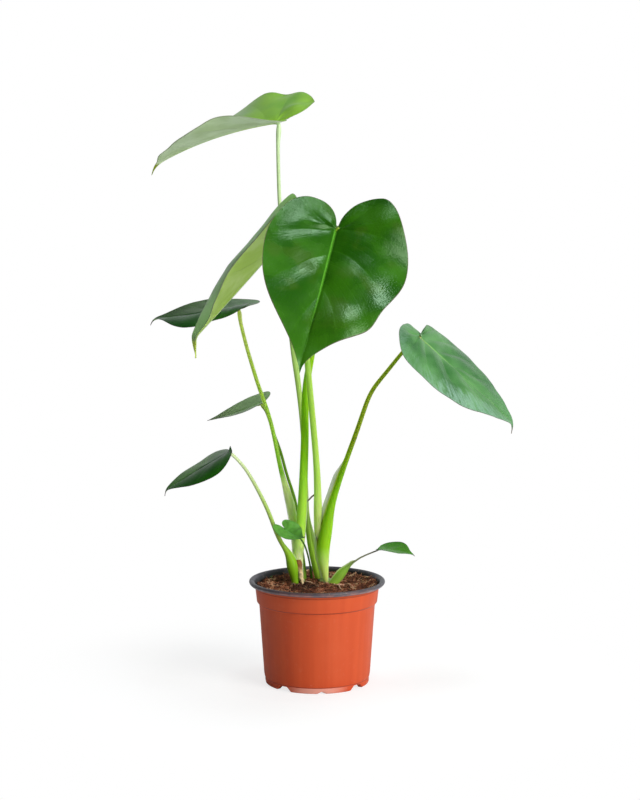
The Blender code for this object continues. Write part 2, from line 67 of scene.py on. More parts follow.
# Pairs are for the left and the right half of a blade, seen from its joint towards its tip.
# joint: where the midrib starts, mm. aim: heading, pitch and roll there, degrees. turn: how far the
# heading, pitch and roll change up to the tip. tip_turn: the same over the bent tip; heading and pitch
# change from tip_start over tip_span, shares of the length, roll from ROLL_START over ROLL_SPAN.
# fold: how far a half is lifted at the midrib; curl: how far it bends up to its margin. wave and
# phase: the wave along the margin, mm and turns. half_width, lobe (behind the joint), widest (place),
# drip (the thin tip) and tip_width (where the drip starts): shares of the length. fullness: how late
# the shoulder narrows. notch, lean: the depth and the slant of the notch at the joint. heel: how broad
# the lobe is. taper: how slowly the drip narrows. bulge: place, spread and amount of a wider stretch
# of the outline.
NO_BULGE = (0.5, 0.1, 0.0)
PLAIN_OUTLINE = dict(
    notch=(0.12, 0.12), lean=(0.0, 0.0), heel=(0.8, 0.8), tip_width=(0.022, 0.022), taper=(0.45, 0.27),
    bulge=(NO_BULGE, NO_BULGE))
PLAIN_LEAF = dict(tip_start=0.86, tip_span=0.14, wave=(0.0, 0.0), phase=(0.0, 0.0), **PLAIN_OUTLINE)
LEAVES = {
    "leaf_top": dict(
        joint=(-37.0, 90.0, 496.0), length=141.5, aim=(161.8, -8, -8.5), turn=(-12, -19.6, 10),
        tip_turn=(17, -42, 0), fold=(0, 25), curl=(19.6, -5.1), wave=(3.1, 3.3), phase=(0.0, -0.014),
        half_width=(0.457, 0.426), lobe=(0.115, 0.214), widest=0.18, fullness=0.49, drip=0.1,
        bulge=((0.84, 0.07, 0.45), NO_BULGE), tip_width=(0.027, 0.027), heel=(0.8, 0.76), taper=(0.8, 0.5)),
    "leaf_diagonal": dict(
        joint=(-26.4, 28.0, 396.7), length=142, aim=(199, -48, 3), turn=(-1, 2, 6), tip_turn=(0, -44, -10),
        tip_start=0.845, tip_span=0.05, fold=(18, 27), curl=(20, -33), wave=(-2.0, -1.0),
        phase=(-0.1, 0.2), half_width=(0.43, 0.43), lobe=(0.18, 0.255), widest=0.2, fullness=0.485,
        drip=0.115, notch=(0.12, 0.34), bulge=((0.84, 0.09, -0.55), (0.8, 0.07, -0.12)),
        tip_width=(0.014, 0.034), heel=(0.8, 0.7), taper=(0.74, 0.42)),
    "leaf_front": dict(
        joint=(16.3, -30.0, 400.4), length=147.3, aim=(-109, -52, 2), turn=(-1, 4, -15),
        tip_turn=(1, -25, 0), fold=(5, 27), curl=(-36, 11), wave=(-6.0, 2.0), phase=(-0.03, 0.0),
        half_width=(0.455, 0.385), lobe=(0.213, 0.178), widest=0.26, fullness=0.57, drip=0.065,
        notch=(0.26, 0.14), bulge=((0.68, 0.1, 0.17), NO_BULGE), heel=(0.73, 0.79)),
    "leaf_left": dict(
        joint=(-72.3, 66.0, 327.5), length=87, aim=(172, -10, 8), turn=(-12, 5, -19), tip_turn=(6, -64, 0),
        fold=(11, 17), curl=(-56, 3), wave=(1.0, 0.0), phase=(-0.08, 0.0), half_width=(0.455, 0.43),
        lobe=(0.17, 0.21), widest=0.26, fullness=0.6, drip=0.07),
    "leaf_left_small": dict(
        joint=(-52.0, 68.0, 240.6), length=53, aim=(168, -25, -5), turn=(2, 13, 0), tip_turn=(0, -7, 0),
        fold=(7, 21), curl=(-11, -7), half_width=(0.43, 0.43), lobe=(0.165, 0.19), widest=0.2,
        fullness=0.505, drip=0.07),
    "leaf_low_left": dict(
        joint=(-77.7, -8.0, 205.9), length=70, aim=(173, -31, 3), turn=(6, -1, -18), tip_turn=(-7, -53, 0),
        fold=(3, 11), curl=(-45, -11), wave=(-1.0, 1.5), phase=(0.16, -0.06), half_width=(0.435, 0.43),
        lobe=(0.095, -0.03), widest=0.21, fullness=0.49, drip=0.065),
    "leaf_right": dict(
        joint=(89.4, 0.0, 306.7), length=121, aim=(-7, -42, 10), turn=(14, -1, 14), tip_turn=(14, -60, 0),
        fold=(9, 2), curl=(-17, -30), wave=(0.0, 1.5), phase=(0.0, -0.18), half_width=(0.43, 0.412),
        lobe=(0.02, 0.147), widest=0.205, fullness=0.6, drip=0.05, notch=(0.5, -0.25), lean=(0.0, 0.115),
        heel=(0.8, 0.71)),
    "leaf_juvenile": dict(
        joint=(-27.6, -16.0, 139.5), length=24, aim=(-41, -30, 20), turn=(-1, 37, 9), tip_turn=(9, 24, 0),
        fold=(16, 5), curl=(-17, 19), wave=(0.5, 0.0), phase=(0.16, 0.0), half_width=(0.49, 0.51),
        lobe=(0.36, 0.375), widest=0.195, fullness=0.5, drip=0.08),
    "leaf_low_right": dict(
        joint=(53.6, 0.0, 118.5), length=35, aim=(-17, 6, -3), turn=(-4, -22, 16), tip_turn=(-9, -26, 0),
        fold=(8, 10), curl=(22, -6), half_width=(0.38, 0.36), lobe=(0.0, 0.0), widest=0.425,
        fullness=0.475, drip=0.075),
}

# path: the centreline up to the leaf's joint. radii: at the foot, in the middle and at the joint.
# sheath: the share of the stalk that its broad foot takes.
STALKS = {
    "stalk_front": dict(
        leaf="leaf_front", radii=(4.6, 2.9, 2.2), sheath=0.42,
        path=[(-17, 11, 81), (-17, 11, 110), (-13.5, 11, 149), (-11, 10, 208), (-10, 9, 256), (-4, 6, 295),
              (7, -10, 356)]),
    "stalk_low_left": dict(
        leaf="leaf_low_left", radii=(4.4, 1.7, 1.3), sheath=0.32,
        path=[(-18, 3, 81), (-23, 2, 108), (-33, 0, 129), (-43, -3, 156), (-60, -6, 187), (-71, -8, 201)]),
    "stalk_left": dict(
        leaf="leaf_left", radii=(3.4, 2.0, 1.6), sheath=0.38,
        path=[(-16.5, 22, 81), (-21, 23, 141), (-30, 27, 181), (-42, 36, 229), (-55, 48, 266),
              (-68, 63, 310)]),
    "stalk_left_small": dict(
        leaf="leaf_left_small", radii=(2.2, 1.5, 1.2), sheath=0.3,
        path=[(-11, 20, 81), (-15, 25, 125), (-20.5, 32, 156), (-30, 45, 186), (-38, 57, 209),
              (-46, 66, 232)]),
    "stalk_right": dict(
        leaf="leaf_right", radii=(4.6, 2.3, 1.5), sheath=0.42,
        path=[(9, 6, 81), (7.5, 6, 114), (11, 5, 148), (20, 4, 180), (32, 2, 215), (45, 1, 249),
              (63, 0, 278)]),
    "stalk_diagonal": dict(
        leaf="leaf_diagonal", radii=(3.8, 2.9, 2.3), sheath=0.4,
        path=[(4, 13, 81), (1.5, 9, 134), (-2, 2, 208), (-7, -3, 269), (-14, 10, 338)]),
    "stalk_top": dict(
        leaf="leaf_top", radii=(2.8, 2.0, 1.7), sheath=0.2,
        path=[(2, 21.5, 81), (-7, 26, 131), (-14, 44, 238), (-21, 60, 296), (-30, 76, 362), (-34, 84, 420),
              (-35.5, 88, 470)]),
    "stalk_low_right": dict(
        leaf="leaf_low_right", radii=(3.2, 0.8, 0.6), sheath=0.62,
        path=[(14, 6, 81), (23, 4, 99), (35, 2, 108.5), (43, 1, 113)]),
    "stalk_juvenile": dict(
        leaf="leaf_juvenile", radii=(1.4, 0.8, 0.7), sheath=0.35,
        path=[(-4, 19, 81), (-6.5, 12, 103), (-11, 0, 122), (-18, -9, 133)]),
}

CROWNS = {
    "crown_left": dict(centre=(-16.5, 11.5), radius=6.5, top=90.5),
    "crown_right": dict(centre=(7.5, 11.0), radius=7.0, top=91.5),
}
STUB_PATH = [(-17.0, 3.5, 104.0), (-15.5, 2.0, 98.0), (-13.5, 0.5, 88.0), (-12.5, -0.5, 83.0)]
STUB_RADII = (3.0, 1.3)
STICK_PATH = [(-12.0, 16.0, 156.5), (-7.5, 17.5, 159.5), (-4.0, 18.0, 163.0), (1.0, 17.0, 166.0)]
ROOT_RADIUS = 0.7
SURFACE_ROOTS = {
    "root_left": [(-10.0, 4.5), (-5.5, -1.0), (-2.0, -6.5)],
    "root_front": [(15.5, -3.0), (19.0, -13.0), (23.0, -24.0)],
    "root_right": [(17.5, -6.0), (24.0, -1.5), (32.0, -12.0)],
}
SEEDLING_AT = (-41.0, 24.0)

# ---------------------------------------------------------------- looks
# Colours are written as they look, in sRGB.
COLOUR_NAMES = ("dark", "light", "tip", "dark_below", "light_below", "rib", "margin", "drip")
LEAF_COLOURS = {
    # leaf_top's tip tint is paler and greyer than its blade, to paint the sheen of its gloss towards the tip.
    "leaf_top": "68AC00 84BC0C B0D08C C2DAA6 DCF0C8 C4E090 A4B48C 8A9A24",
    "leaf_diagonal": "70B044 9CD474 BCD8A4 C4E86A DCF894 DCF4B0 8A9A78 D8F060",
    "leaf_front": "1C5400 306C00 3C7610 6F9A50 8FB56C 5CA82A 5E5A40 2F7012",
    "leaf_left": "226C18 44882E 2F5A2C 6F9A60 8CAF78 90B078 5A5A50 6A6468",
    "leaf_left_small": "8AB470 ACD290 8A8A7C 7A9068 8FA37E 8FA67A 5E5C56 8A8488",
    "leaf_low_left": "1C600A 2C7414 2B5A22 5E8450 7C9C6A B0C498 5A5650 5A4A50",
    "leaf_right": "2E6C2C 58944E 5C9860 7FA880 9CC096 8CC070 64705C 8A8278",
    "leaf_juvenile": "4C963A 68AC40 3A7A30 5F9A5A 7CB272 6FB868 3A6A40 4A3A34",
    "leaf_low_right": "3C8624 6CB22E 3C8030 5F9A50 7CB26A 7CC060 3E7A38 6A6A60",
}
# veins and vein_phase: how many side veins a half has and where the first lies. quilt: how high the
# blade stands between them, mm, and quilts: the share of it on each half. uneven: broad unevenness, mm.
# dents: half, place along, place across, reach and height in mm of single hollows and swellings.
# skin: strength of the fine grain. shine, roughness and gleam: strength, blur and tint of the gloss.
# patch: the tint of cloudy patches. pale: the half that gets a painted sheen, its tint and amount;
# painted_sheen_from: from where to where across the half it sets in; combed: how streaky its edge is.
# hollow: how dark the blade is between the side veins near the midrib. rib_fade: from where to where along
# the blade the midrib's tint goes from one share to another. under_vein: tint of the side veins below.
PLAIN_LOOK = dict(
    quilts=(1.0, 1.0), dents=(), gleam="E4FCD0", patch=None, pale=None, painted_sheen_from=(0.3, 0.7), combed=0.0,
    hollow=0.0, rib_fade=(0.1, 0.9, 0.9, 0.3), under_vein=None)
LOOKS = {
    "leaf_top": dict(
        veins=5.0, vein_phase=(0.1, 0.2), quilt=0.8, uneven=0.5,
        dents=((1, 0.04, 0.4, 0.07, -3.0), (1, -0.09, 0.34, 0.07, 2.0), (1, -0.1, 0.12, 0.07, 3.5),
               (1, -0.19, 0.24, 0.06, -3.2)), skin=0.15, shine=0.12, roughness=0.38, gleam="D4F090",
        pale=(1, "B4C8A0", 0.55), painted_sheen_from=(-1.0, -0.5)),
    "leaf_diagonal": dict(
        veins=6.0, vein_phase=(0.1, 0.3), quilt=0.7, uneven=0.5, skin=0.4, shine=0.15, roughness=0.34,
        under_vein="A0C860"),
    "leaf_front": dict(
        veins=4.6, vein_phase=(0.15, 0.0), quilt=2.2, quilts=(0.4, 0.85), uneven=1.0,
        dents=((0, -0.02, 0.34, 0.1, 3.2), (0, 0.2, 0.2, 0.12, 2.2), (0, 0.56, 0.41, 0.13, 3.0),
               (0, 0.67, 0.18, 0.09, 4.2)), skin=0.55, shine=0.6, roughness=0.26, gleam="CCF4C4",
        patch="3E6410", rib_fade=(0.35, 0.85, 0.9, 0.05)),
    "leaf_left": dict(
        veins=5.0, vein_phase=(0.1, 0.3), quilt=0.45, uneven=0.35, skin=0.25, shine=0.12, roughness=0.34,
        pale=(1, "8CB478", 0.7)),
    "leaf_left_small": dict(
        veins=4.0, vein_phase=(0.1, 0.3), quilt=0.1, uneven=0.15, skin=0.04, shine=0.25, roughness=0.45),
    "leaf_low_left": dict(
        veins=4.5, vein_phase=(0.2, 0.1), quilt=0.15, uneven=0.15, dents=((0, -0.12, 0.08, 0.07, 5.0),),
        skin=0.03, shine=0.06, roughness=0.34, pale=(1, "90C474", 0.75), rib_fade=(0.1, 0.8, 0.9, 0.4)),
    "leaf_right": dict(
        veins=6.5, vein_phase=(0.2, 0.4), quilt=2.2, uneven=0.7, skin=1.5, shine=0.42, roughness=0.34,
        gleam="FFFFFF", pale=(1, "8FB8A2", 0.65), painted_sheen_from=(1.5, 2.0), combed=1.4, hollow=0.5,
        rib_fade=(0.08, 0.4, 0.9, 0.22)),
    "leaf_juvenile": dict(
        veins=3.0, vein_phase=(0.2, 0.4), quilt=0.3, uneven=0.2,
        dents=((0, -0.1, 0.25, 0.12, 0.9), (1, -0.12, 0.25, 0.14, -0.9), (0, 0.45, 0.22, 0.12, 0.6),
               (1, 0.4, 0.2, 0.12, -0.5)), skin=0.06, shine=0.35, roughness=0.38),
    "leaf_low_right": dict(
        veins=3.0, vein_phase=(0.2, 0.1), quilt=0.3, uneven=0.2, skin=0.06, shine=0.35, roughness=0.38),
}

# tints: colours along each stalk from its foot (0) to the joint (1). glow: how much light goes through.
# fat: how much thicker than the solid its foot and its middle look. swell: how thick the joint is.
# waist: up to where and how much its foot narrows. belly: place, spread and amount of a thicker
# stretch. wing: the thin edges of its sheath, as the side they stand on, where they end along the
# stalk and their height in mm. nudge: place, spread and shift in mm of single bends.
PLAIN_STALK = dict(glow=0.0, swell=0.15, waist=(0.05, 0.16), belly=(0.2, 0.1, 0.0), nudge=())
STALK_LOOKS = {
    "stalk_front": dict(
        tints=((0.0, "E4FFB8"), (0.09, "DCFCA4"), (0.16, "B0E450"), (0.35, "8CC80C"), (0.6, "88BC08"),
               (1.0, "94D034")), glow=0.95, fat=(1.08, 1.2), wing=((0.6, 1.0, 0), 0.3, 1.2)),
    "stalk_low_left": dict(
        tints=((0.0, "88B030"), (0.1, "80B818"), (0.2, "90C81C"), (0.35, "98BC40"), (0.6, "B0D06C"),
               (1.0, "E4F4C0")), fat=(1.1, 1.15), waist=(0.16, 0.45), belly=(0.18, 0.07, 0.55),
        wing=((1, 0.6, 0), 0.33, 1.0), nudge=((0.5, 0.2, (-1.2, 0.0, -0.6)),)),
    "stalk_left": dict(
        tints=((0.0, "A8CC70"), (0.1, "C8F08C"), (0.36, "D4F8A0"), (0.4, "80B830"), (0.6, "9CD04C"),
               (1.0, "CCF078")), glow=0.95, fat=(1.1, 0.95), swell=0.25, belly=(0.29, 0.09, 0.7),
        wing=((-0.7, 0.7, 0), 0.39, 1.2),
        nudge=((0.86, 0.09, (-0.4, 0.0, 0.0)), (0.42, 0.1, (-1.2, 0.0, 0.0)))),
    "stalk_left_small": dict(
        tints=((0.0, "88B434"), (0.2, "74A420"), (0.8, "68981C"), (1.0, "A8C850")), fat=(1.0, 0.9),
        swell=0.7, wing=((1, 0.5, 0), 0.2, 0.5),
        nudge=((0.45, 0.1, (0.8, 0.0, 0.0)), (0.72, 0.1, (1.0, 0.0, 0.0)))),
    "stalk_right": dict(
        tints=((0.0, "D0F880"), (0.09, "CCF880"), (0.16, "98D018"), (0.4, "70A406"), (0.55, "6E8008"),
               (0.9, "7E8E1C"), (1.0, "B4C85C")), glow=0.95, fat=(1.12, 1.0), waist=(0.14, 0.72),
        belly=(0.21, 0.09, 0.45), wing=((-0.85, 0.6, 0), 0.49, 4.6),
        nudge=((0.14, 0.08, (-2.0, 0.0, 0.0)), (0.74, 0.07, (-1.2, 0.0, 1.4)))),
    "stalk_diagonal": dict(
        tints=((0.0, "E0F8B0"), (0.15, "D4F088"), (0.3, "ACD660"), (0.5, "9AC44C"), (1.0, "9CC660")),
        glow=0.95, fat=(1.25, 0.95), waist=(0.14, 0.6), wing=((-0.6, 1.0, 0), 0.3, 1.0),
        nudge=((0.02, 0.08, (2.5, 0.0, 0.0)), (0.32, 0.1, (0.7, 0.0, 0.0)))),
    "stalk_top": dict(
        tints=((0.0, "B8E050"), (0.07, "B0DC40"), (0.15, "A8CC60"), (0.4, "B4DC68"), (1.0, "D8F2C0")),
        fat=(1.0, 1.0), swell=0.5, belly=(0.5, 0.14, 0.5), wing=((1, 0.1, 0), 0.17, 4.5),
        nudge=((0.12, 0.06, (-1.0, 0.0, 0.0)), (0.5, 0.12, (-1.0, 0.0, 0.0)))),
    "stalk_low_right": dict(
        tints=((0.0, "A8D850"), (0.35, "8CC040"), (0.6, "8A9468"), (1.0, "8A8478")), fat=(1.25, 0.95),
        belly=(0.3, 0.12, 0.5), wing=((-0.3, 0.2, 1), 0.62, 1.5),
        nudge=((0.0, 0.2, (-3.0, 0.0, 0.0)), (0.4, 0.16, (2.2, 0.0, 0.4)))),
    "stalk_juvenile": dict(
        tints=((0.0, "34500C"), (0.5, "3C6414"), (1.0, "3E8A24")), fat=(1.0, 1.0),
        wing=((0, 1, 0), 0.2, 0.3)),
}


def fill_in(table, plain):
    """Give each row of a table the plain values that it doesn't name."""
    for name, row in table.items():
        table[name] = {**plain, **row}


fill_in(LEAVES, PLAIN_LEAF)
fill_in(LOOKS, PLAIN_LOOK)
fill_in(STALK_LOOKS, PLAIN_STALK)
for leaf_name, codes in LEAF_COLOURS.items():
    LOOKS[leaf_name].update(zip(COLOUR_NAMES, codes.split()))


# ---------------------------------------------------------------- numbers
def linear(code):
    """A colour written RRGGBB in sRGB, as linear RGBA."""
    parts = [int(code[k:k + 2], 16) / 255 for k in (0, 2, 4)]
    return tuple(c / 12.92 if c <= 0.04045 else ((c + 0.055) / 1.055) ** 2.4 for c in parts) + (1.0,)


def ease(x):
    """Smooth step from 0 to 1."""
    x = np.clip(x, 0.0, 1.0)
    return x * x * (3 - 2 * x)


def bell(x, middle, spread):
    """1 in the middle, falling smoothly to 0 on both sides."""
    return np.exp(-((x - middle) / spread) ** 2)


def unit(vectors):
    """Vectors of length one; a zero vector stays zero."""
    length = np.linalg.norm(vectors, axis=-1, keepdims=True)
    return vectors / np.where(length > 1e-12, length, 1.0)


def walked_length(points):
    """How far along its path each point lies."""
    return np.concatenate([[0.0], np.cumsum(np.linalg.norm(np.diff(points, axis=0), axis=1))])


def full_turn(count):
    """Evenly spaced angles once around."""
    return np.linspace(0.0, 2 * math.pi, count, endpoint=False)


def value_noise(x, y, seed):
    """Smooth noise from -1 to 1 with one cell a unit."""
    table = np.random.default_rng(seed).uniform(-1.0, 1.0, (64, 64))
    i, j = np.floor(x).astype(int), np.floor(y).astype(int)
    u, v = ease(x - i), ease(y - j)
    low = table[i % 64, j % 64] * (1 - u) + table[(i + 1) % 64, j % 64] * u
    high = table[i % 64, (j + 1) % 64] * (1 - u) + table[(i + 1) % 64, (j + 1) % 64] * u
    return low * (1 - v) + high * v


def layered_noise(x, y, seed, layers):
    """Noise of several sizes, each half as large and half as high as the one before."""
    total = np.zeros_like(x)
    for k in range(layers):
        total = total + 0.5 ** k * value_noise(x * 2 ** k, y * 2 ** k, seed + k)
    return total


def bezier(a, b, c, d, count):
    """Points of a cubic Bezier curve without its last point."""
    t = np.linspace(0.0, 1.0, count, endpoint=False)[:, None]
    a, b, c, d = (np.array(p, float) for p in (a, b, c, d))
    return (1 - t) ** 3 * a + 3 * (1 - t) ** 2 * t * b + 3 * (1 - t) * t ** 2 * c + t ** 3 * d


def smooth_path(points, count):
    """A smooth curve through the points, evenly spaced along its length."""
    p = np.array(points, float)
    p = np.vstack([2 * p[0] - p[1], p, 2 * p[-1] - p[-2]])
    t = np.linspace(0.0, 1.0, 24, endpoint=False)[:, None]
    fine = []
    for a, b, c, d in zip(p, p[1:], p[2:], p[3:]):
        fine.append(0.5 * (2 * b + (c - a) * t + (2 * a - 5 * b + 4 * c - d) * t ** 2
                           + (3 * b - a - 3 * c + d) * t ** 3))
    fine = np.vstack(fine + [p[-2][None, :]])
    walked = walked_length(fine)
    even = np.linspace(0.0, walked[-1], count)
    return np.stack([np.interp(even, walked, fine[:, k]) for k in range(3)], -1)


# ---------------------------------------------------------------- meshes
WELD = 0.000002                 # points nearer than this become one, metres
SHORTEST_EDGE = 0.000001


def clean(mesh):
    """Join points that coincide, turn all faces outward and shade them smoothly."""
    bm = bmesh.new()
    bm.from_mesh(mesh)
    bmesh.ops.remove_doubles(bm, verts=bm.verts, dist=WELD)
    bmesh.ops.dissolve_degenerate(bm, dist=SHORTEST_EDGE, edges=bm.edges)
    bmesh.ops.recalc_face_normals(bm, faces=bm.faces)
    bm.to_mesh(mesh)
    bm.free()
    mesh.polygons.foreach_set("use_smooth", [True] * len(mesh.polygons))


def add_piece(name, points, faces, materials, node=None, kinds=None, maps=None):
    """A smooth piece from points in mm, which stands for a CAD node.

    kinds: the number of each face's material. maps: name to one (u, v) for every point.
    """
    mesh = bpy.data.meshes.new(name)
    mesh.from_pydata((np.asarray(points, float).reshape(-1, 3) * MM).tolist(), [], faces)
    for material in materials:
        mesh.materials.append(material)
    if kinds is not None:
        mesh.polygons.foreach_set("material_index", kinds)
    corners = np.zeros(len(mesh.loops), int)
    mesh.loops.foreach_get("vertex_index", corners)
    for label, places in (maps or {}).items():
        layer = mesh.uv_layers.new(name=label, do_init=False)
        layer.uv.foreach_set("vector", np.asarray(places, np.float32)[corners].ravel())
    clean(mesh)
    piece = bpy.data.objects.new(name, mesh)
    bpy.context.scene.collection.objects.link(piece)
    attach(piece, "root")
    if node is not None:
        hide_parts(node)
    return piece


def grid_faces(rows, cols, start=0, around=False, flip=False):
    """Quads of a grid of points; around joins the last column to the first."""
    faces = []
    for i in range(rows - 1):
        for j in range(cols if around else cols - 1):
            n = (j + 1) % cols
            ring = [i * cols + j, (i + 1) * cols + j, (i + 1) * cols + n, i * cols + n]
            faces.append([start + k for k in (reversed(ring) if flip else ring)])
    return faces


def tube_faces(rows, cols, start=0):
    """Quads of a tube of rings of points, and its two ends."""
    last = start + (rows - 1) * cols
    ends = [[start + k for k in range(cols)], [last + k for k in reversed(range(cols))]]
    return grid_faces(rows, cols, start, around=True) + ends


def thin_tube(path, radii, sides, start=0):
    """Points and faces of a round strand along a path."""
    way = unit(np.gradient(path, axis=0))
    across = unit(np.cross(way, np.array([0.3, 0.2, 1.0])))
    other = np.cross(way, across)
    turn = full_turn(sides)
    ring = across[:, None, :] * np.cos(turn)[None, :, None] + other[:, None, :] * np.sin(turn)[None, :, None]
    points = path[:, None, :] + ring * np.asarray(radii)[:, None, None]
    return points.reshape(-1, 3).tolist(), tube_faces(len(path), sides, start)


# ---------------------------------------------------------------- shader nodes
class Nodes:
    """Short calls for the nodes of one tree."""

    def __init__(self, tree):
        self.tree = tree

    def feed(self, socket, value):
        """Give a socket the output of a node, a number or a colour."""
        if isinstance(value, bpy.types.NodeSocket):
            self.tree.links.new(value, socket)
        else:
            socket.default_value = linear(value) if isinstance(value, str) else value

    def node(self, kind, *values, **settings):
        """A new node with its settings, its first sockets fed in their order."""
        made = self.tree.nodes.new("ShaderNode" + kind)
        for key, value in settings.items():
            setattr(made, key, value)
        for socket, value in zip(made.inputs, values):
            self.feed(socket, value)
        return made

    def split(self, vector):
        """The three numbers of a vector."""
        return tuple(self.node("SeparateXYZ", vector).outputs)

    def vector(self, x, y, z=0.0):
        return self.node("CombineXYZ", x, y, z).outputs[0]

    def length(self, vector):
        return self.node("VectorMath", vector, operation="LENGTH").outputs["Value"]

    def math(self, operation, a, b=0.0, c=0.0, clamp=False):
        return self.node("Math", a, b, c, operation=operation, use_clamp=clamp).outputs[0]

    def times(self, a, b):
        return self.math("MULTIPLY", a, b)

    def range(self, value, low, high, to_low=0.0, to_high=1.0, kind="SMOOTHSTEP"):
        """Carry a value from one range to another."""
        return self.node("MapRange", value, low, high, to_low, to_high, interpolation_type=kind).outputs[0]

    def mix(self, share, a, b, blend="MIX"):
        made = self.node("Mix", data_type="RGBA", blend_type=blend)
        for socket, value in zip((made.inputs["Factor"], made.inputs[6], made.inputs[7]), (share, a, b)):
            self.feed(socket, value)
        return made.outputs[2]

    def cover(self, colour, *layers):
        """Lay further colours over a colour, each as far as its share says."""
        for share, code in layers:
            colour = self.mix(share, colour, code)
        return colour


class Shader(Nodes):
    """A Principled material and short calls for the nodes that feed it."""

    def __init__(self, name, roughness=0.5, **values):
        self.material = bpy.data.materials.new(name)
        self.material.use_nodes = True
        super().__init__(self.material.node_tree)
        self.surface = self.tree.nodes["Principled BSDF"]
        self.set("Roughness", roughness)
        for socket, value in values.items():
            self.set(socket.replace("_", " "), value)

    def set(self, socket, value):
        """Give a socket of the surface a fixed value or the output of a node."""
        self.feed(self.surface.inputs[socket], value)

    def finish(self, colour, normal=None):
        """Give the surface its colour and relief, and return the material."""
        self.set("Base Color", colour)
        if normal is not None:
            self.set("Normal", normal)
        return self.material

    def map(self, name):
        """The two numbers of a UV map."""
        return self.split(self.node("UVMap", uv_map=name).outputs[0])[:2]

    def place(self):
        """The place on the piece, in metres."""
        return self.node("TexCoord").outputs["Object"]

    def noise(self, vector, scale, detail=2.0, roughness=0.5):
        made = self.node("TexNoise")
        self.feed(made.inputs["Vector"], vector)
        for socket, value in zip(("Scale", "Detail", "Roughness"), (scale, detail, roughness)):
            made.inputs[socket].default_value = value
        return made.outputs["Fac"]

    def ramp(self, share, stops):
        made = self.node("ValToRGB", share)
        elements = made.color_ramp.elements
        while len(elements) < len(stops):
            elements.new(0.5)
        for element, (position, code) in zip(elements, stops):
            element.position = position
            element.color = linear(code)
        return made.outputs[0]

    def bump(self, height, distance, normal=None):
        """Relief of so many metres."""
        made = self.node("Bump")
        made.inputs["Distance"].default_value = distance
        self.feed(made.inputs["Height"], height)
        if normal is not None:
            self.feed(made.inputs["Normal"], normal)
        return made.outputs[0]


# ---------------------------------------------------------------- blades
BLADE_THICKNESS = 0.55
MARGIN_THICKNESS = 0.3
RIB_DEPTH = 1.3                 # the midrib under the blade at the stalk end
RIB_WIDTH = 1.7
GROOVE_DEPTH = 0.7              # the groove over the midrib
GROOVE_WIDTH = 1.8
FULL_LEAF = 120.0               # shorter blades have a thinner midrib in proportion
SKIN_LEAF = 146.0               # the length at which the skin's grain has its own size
MIDRIB_STEPS = 64
ROLL_START = 0.66
ROLL_SPAN = 0.16
LARGE_LEAF = 60.0               # longer blades have the finer of two grids
# points on the notch, the lobe, the shoulder and the drip of a half, and places across it
FINE_GRID = ((14, 26, 84, 16), 44)
COARSE_GRID = ((8, 16, 44, 8), 24)
HALF_SIGNS = (1.0, -1.0)        # the left half lies to the left of the midrib


def size_share(leaf):
    """1 for a full-size leaf, less for a smaller one."""
    return min(leaf["length"] / FULL_LEAF, 1.0)


def half_outline(leaf, half, counts):
    """Half a heart: notch, round the lobe, widest place, shoulder and drip tip; unit length."""
    width, lobe, notch, lean, heel, tip_width = (
        leaf[key][half] for key in ("half_width", "lobe", "notch", "lean", "heel", "tip_width"))
    widest, drip, taper = leaf["widest"], leaf["drip"], leaf["taper"]
    shoulder = 1.0 - drip
    back = (-lobe, (0.40 + 0.5 * notch) * width)
    side = (widest, width)
    neck = (shoulder, tip_width)
    outline = np.vstack([
        bezier((0, 0), (-0.55 * lobe + 4.0 * lean * lobe, 0.06 * notch - 1.5 * lean),
               (-lobe, notch * width - 0.9 * lean), back, counts[0]),
        bezier(back, (-lobe, heel * width), (0.442 * widest - 0.558 * lobe, width), side, counts[1]),
        bezier(side, (widest + 0.62 * leaf["fullness"], width),
               (shoulder - 0.20, 0.262 * width + 0.02), neck, counts[2]),
        bezier(neck, (shoulder + 0.3 * drip, taper[0] * tip_width),
               (shoulder + 0.6 * drip, taper[1] * tip_width), (1.0, 0.0), counts[3]),
        [(1.0, 0.0)],
    ])
    place, spread, amount = leaf["bulge"][half]
    outline[:, 1] *= 1.0 + amount * bell(outline[:, 0], place, spread)
    return outline


def vein_roots(leaf, counts):
    """Where the side veins leave the midrib, the same places for both halves."""
    plain = {**leaf, **PLAIN_OUTLINE}
    plain["half_width"] = [sum(leaf["half_width"]) / 2]
    plain["lobe"] = [sum(leaf["lobe"]) / 2]
    along = np.clip(half_outline(plain, 0, counts)[:, 0], 0.0, 1.0)
    return np.maximum.accumulate(0.7 * along ** 2 + 0.3 * along ** 12)


def midrib_frame(leaf, along):
    """Centre, forward, left and up directions at places along the midrib (unit length)."""
    s = np.linspace(0.0, 1.0, MIDRIB_STEPS + 1)
    tip = ease((s - leaf["tip_start"]) / leaf["tip_span"])
    starts = zip(leaf["aim"], leaf["turn"], leaf["tip_turn"])
    heading, pitch, _ = (np.radians(start + turn * s + tip_turn * tip) for start, turn, tip_turn in starts)
    forward = np.stack([np.cos(pitch) * np.cos(heading), np.cos(pitch) * np.sin(heading), np.sin(pitch)], -1)
    steps = 0.5 * (forward[1:] + forward[:-1]) / MIDRIB_STEPS
    centre = np.vstack([[0.0, 0.0, 0.0], np.cumsum(steps, 0)])
    inside = np.clip(along, 0.0, 1.0)
    place = np.stack([np.interp(inside, s, centre[:, k]) for k in range(3)], -1)
    ahead = unit(np.stack([np.interp(inside, s, forward[:, k]) for k in range(3)], -1))
    place = place + np.minimum(along, 0.0)[..., None] * forward[0]
    turned = np.interp(inside, s, heading)
    left = np.stack([-np.sin(turned), np.cos(turned), np.zeros_like(turned)], -1)
    up = np.cross(ahead, left)
    curled = leaf["tip_turn"][2] * ease((along - ROLL_START) / ROLL_SPAN)
    roll = np.radians(leaf["aim"][2] + leaf["turn"][2] * along + curled)[..., None]
    return place, ahead, left * np.cos(roll) + up * np.sin(roll), up * np.cos(roll) - left * np.sin(roll)


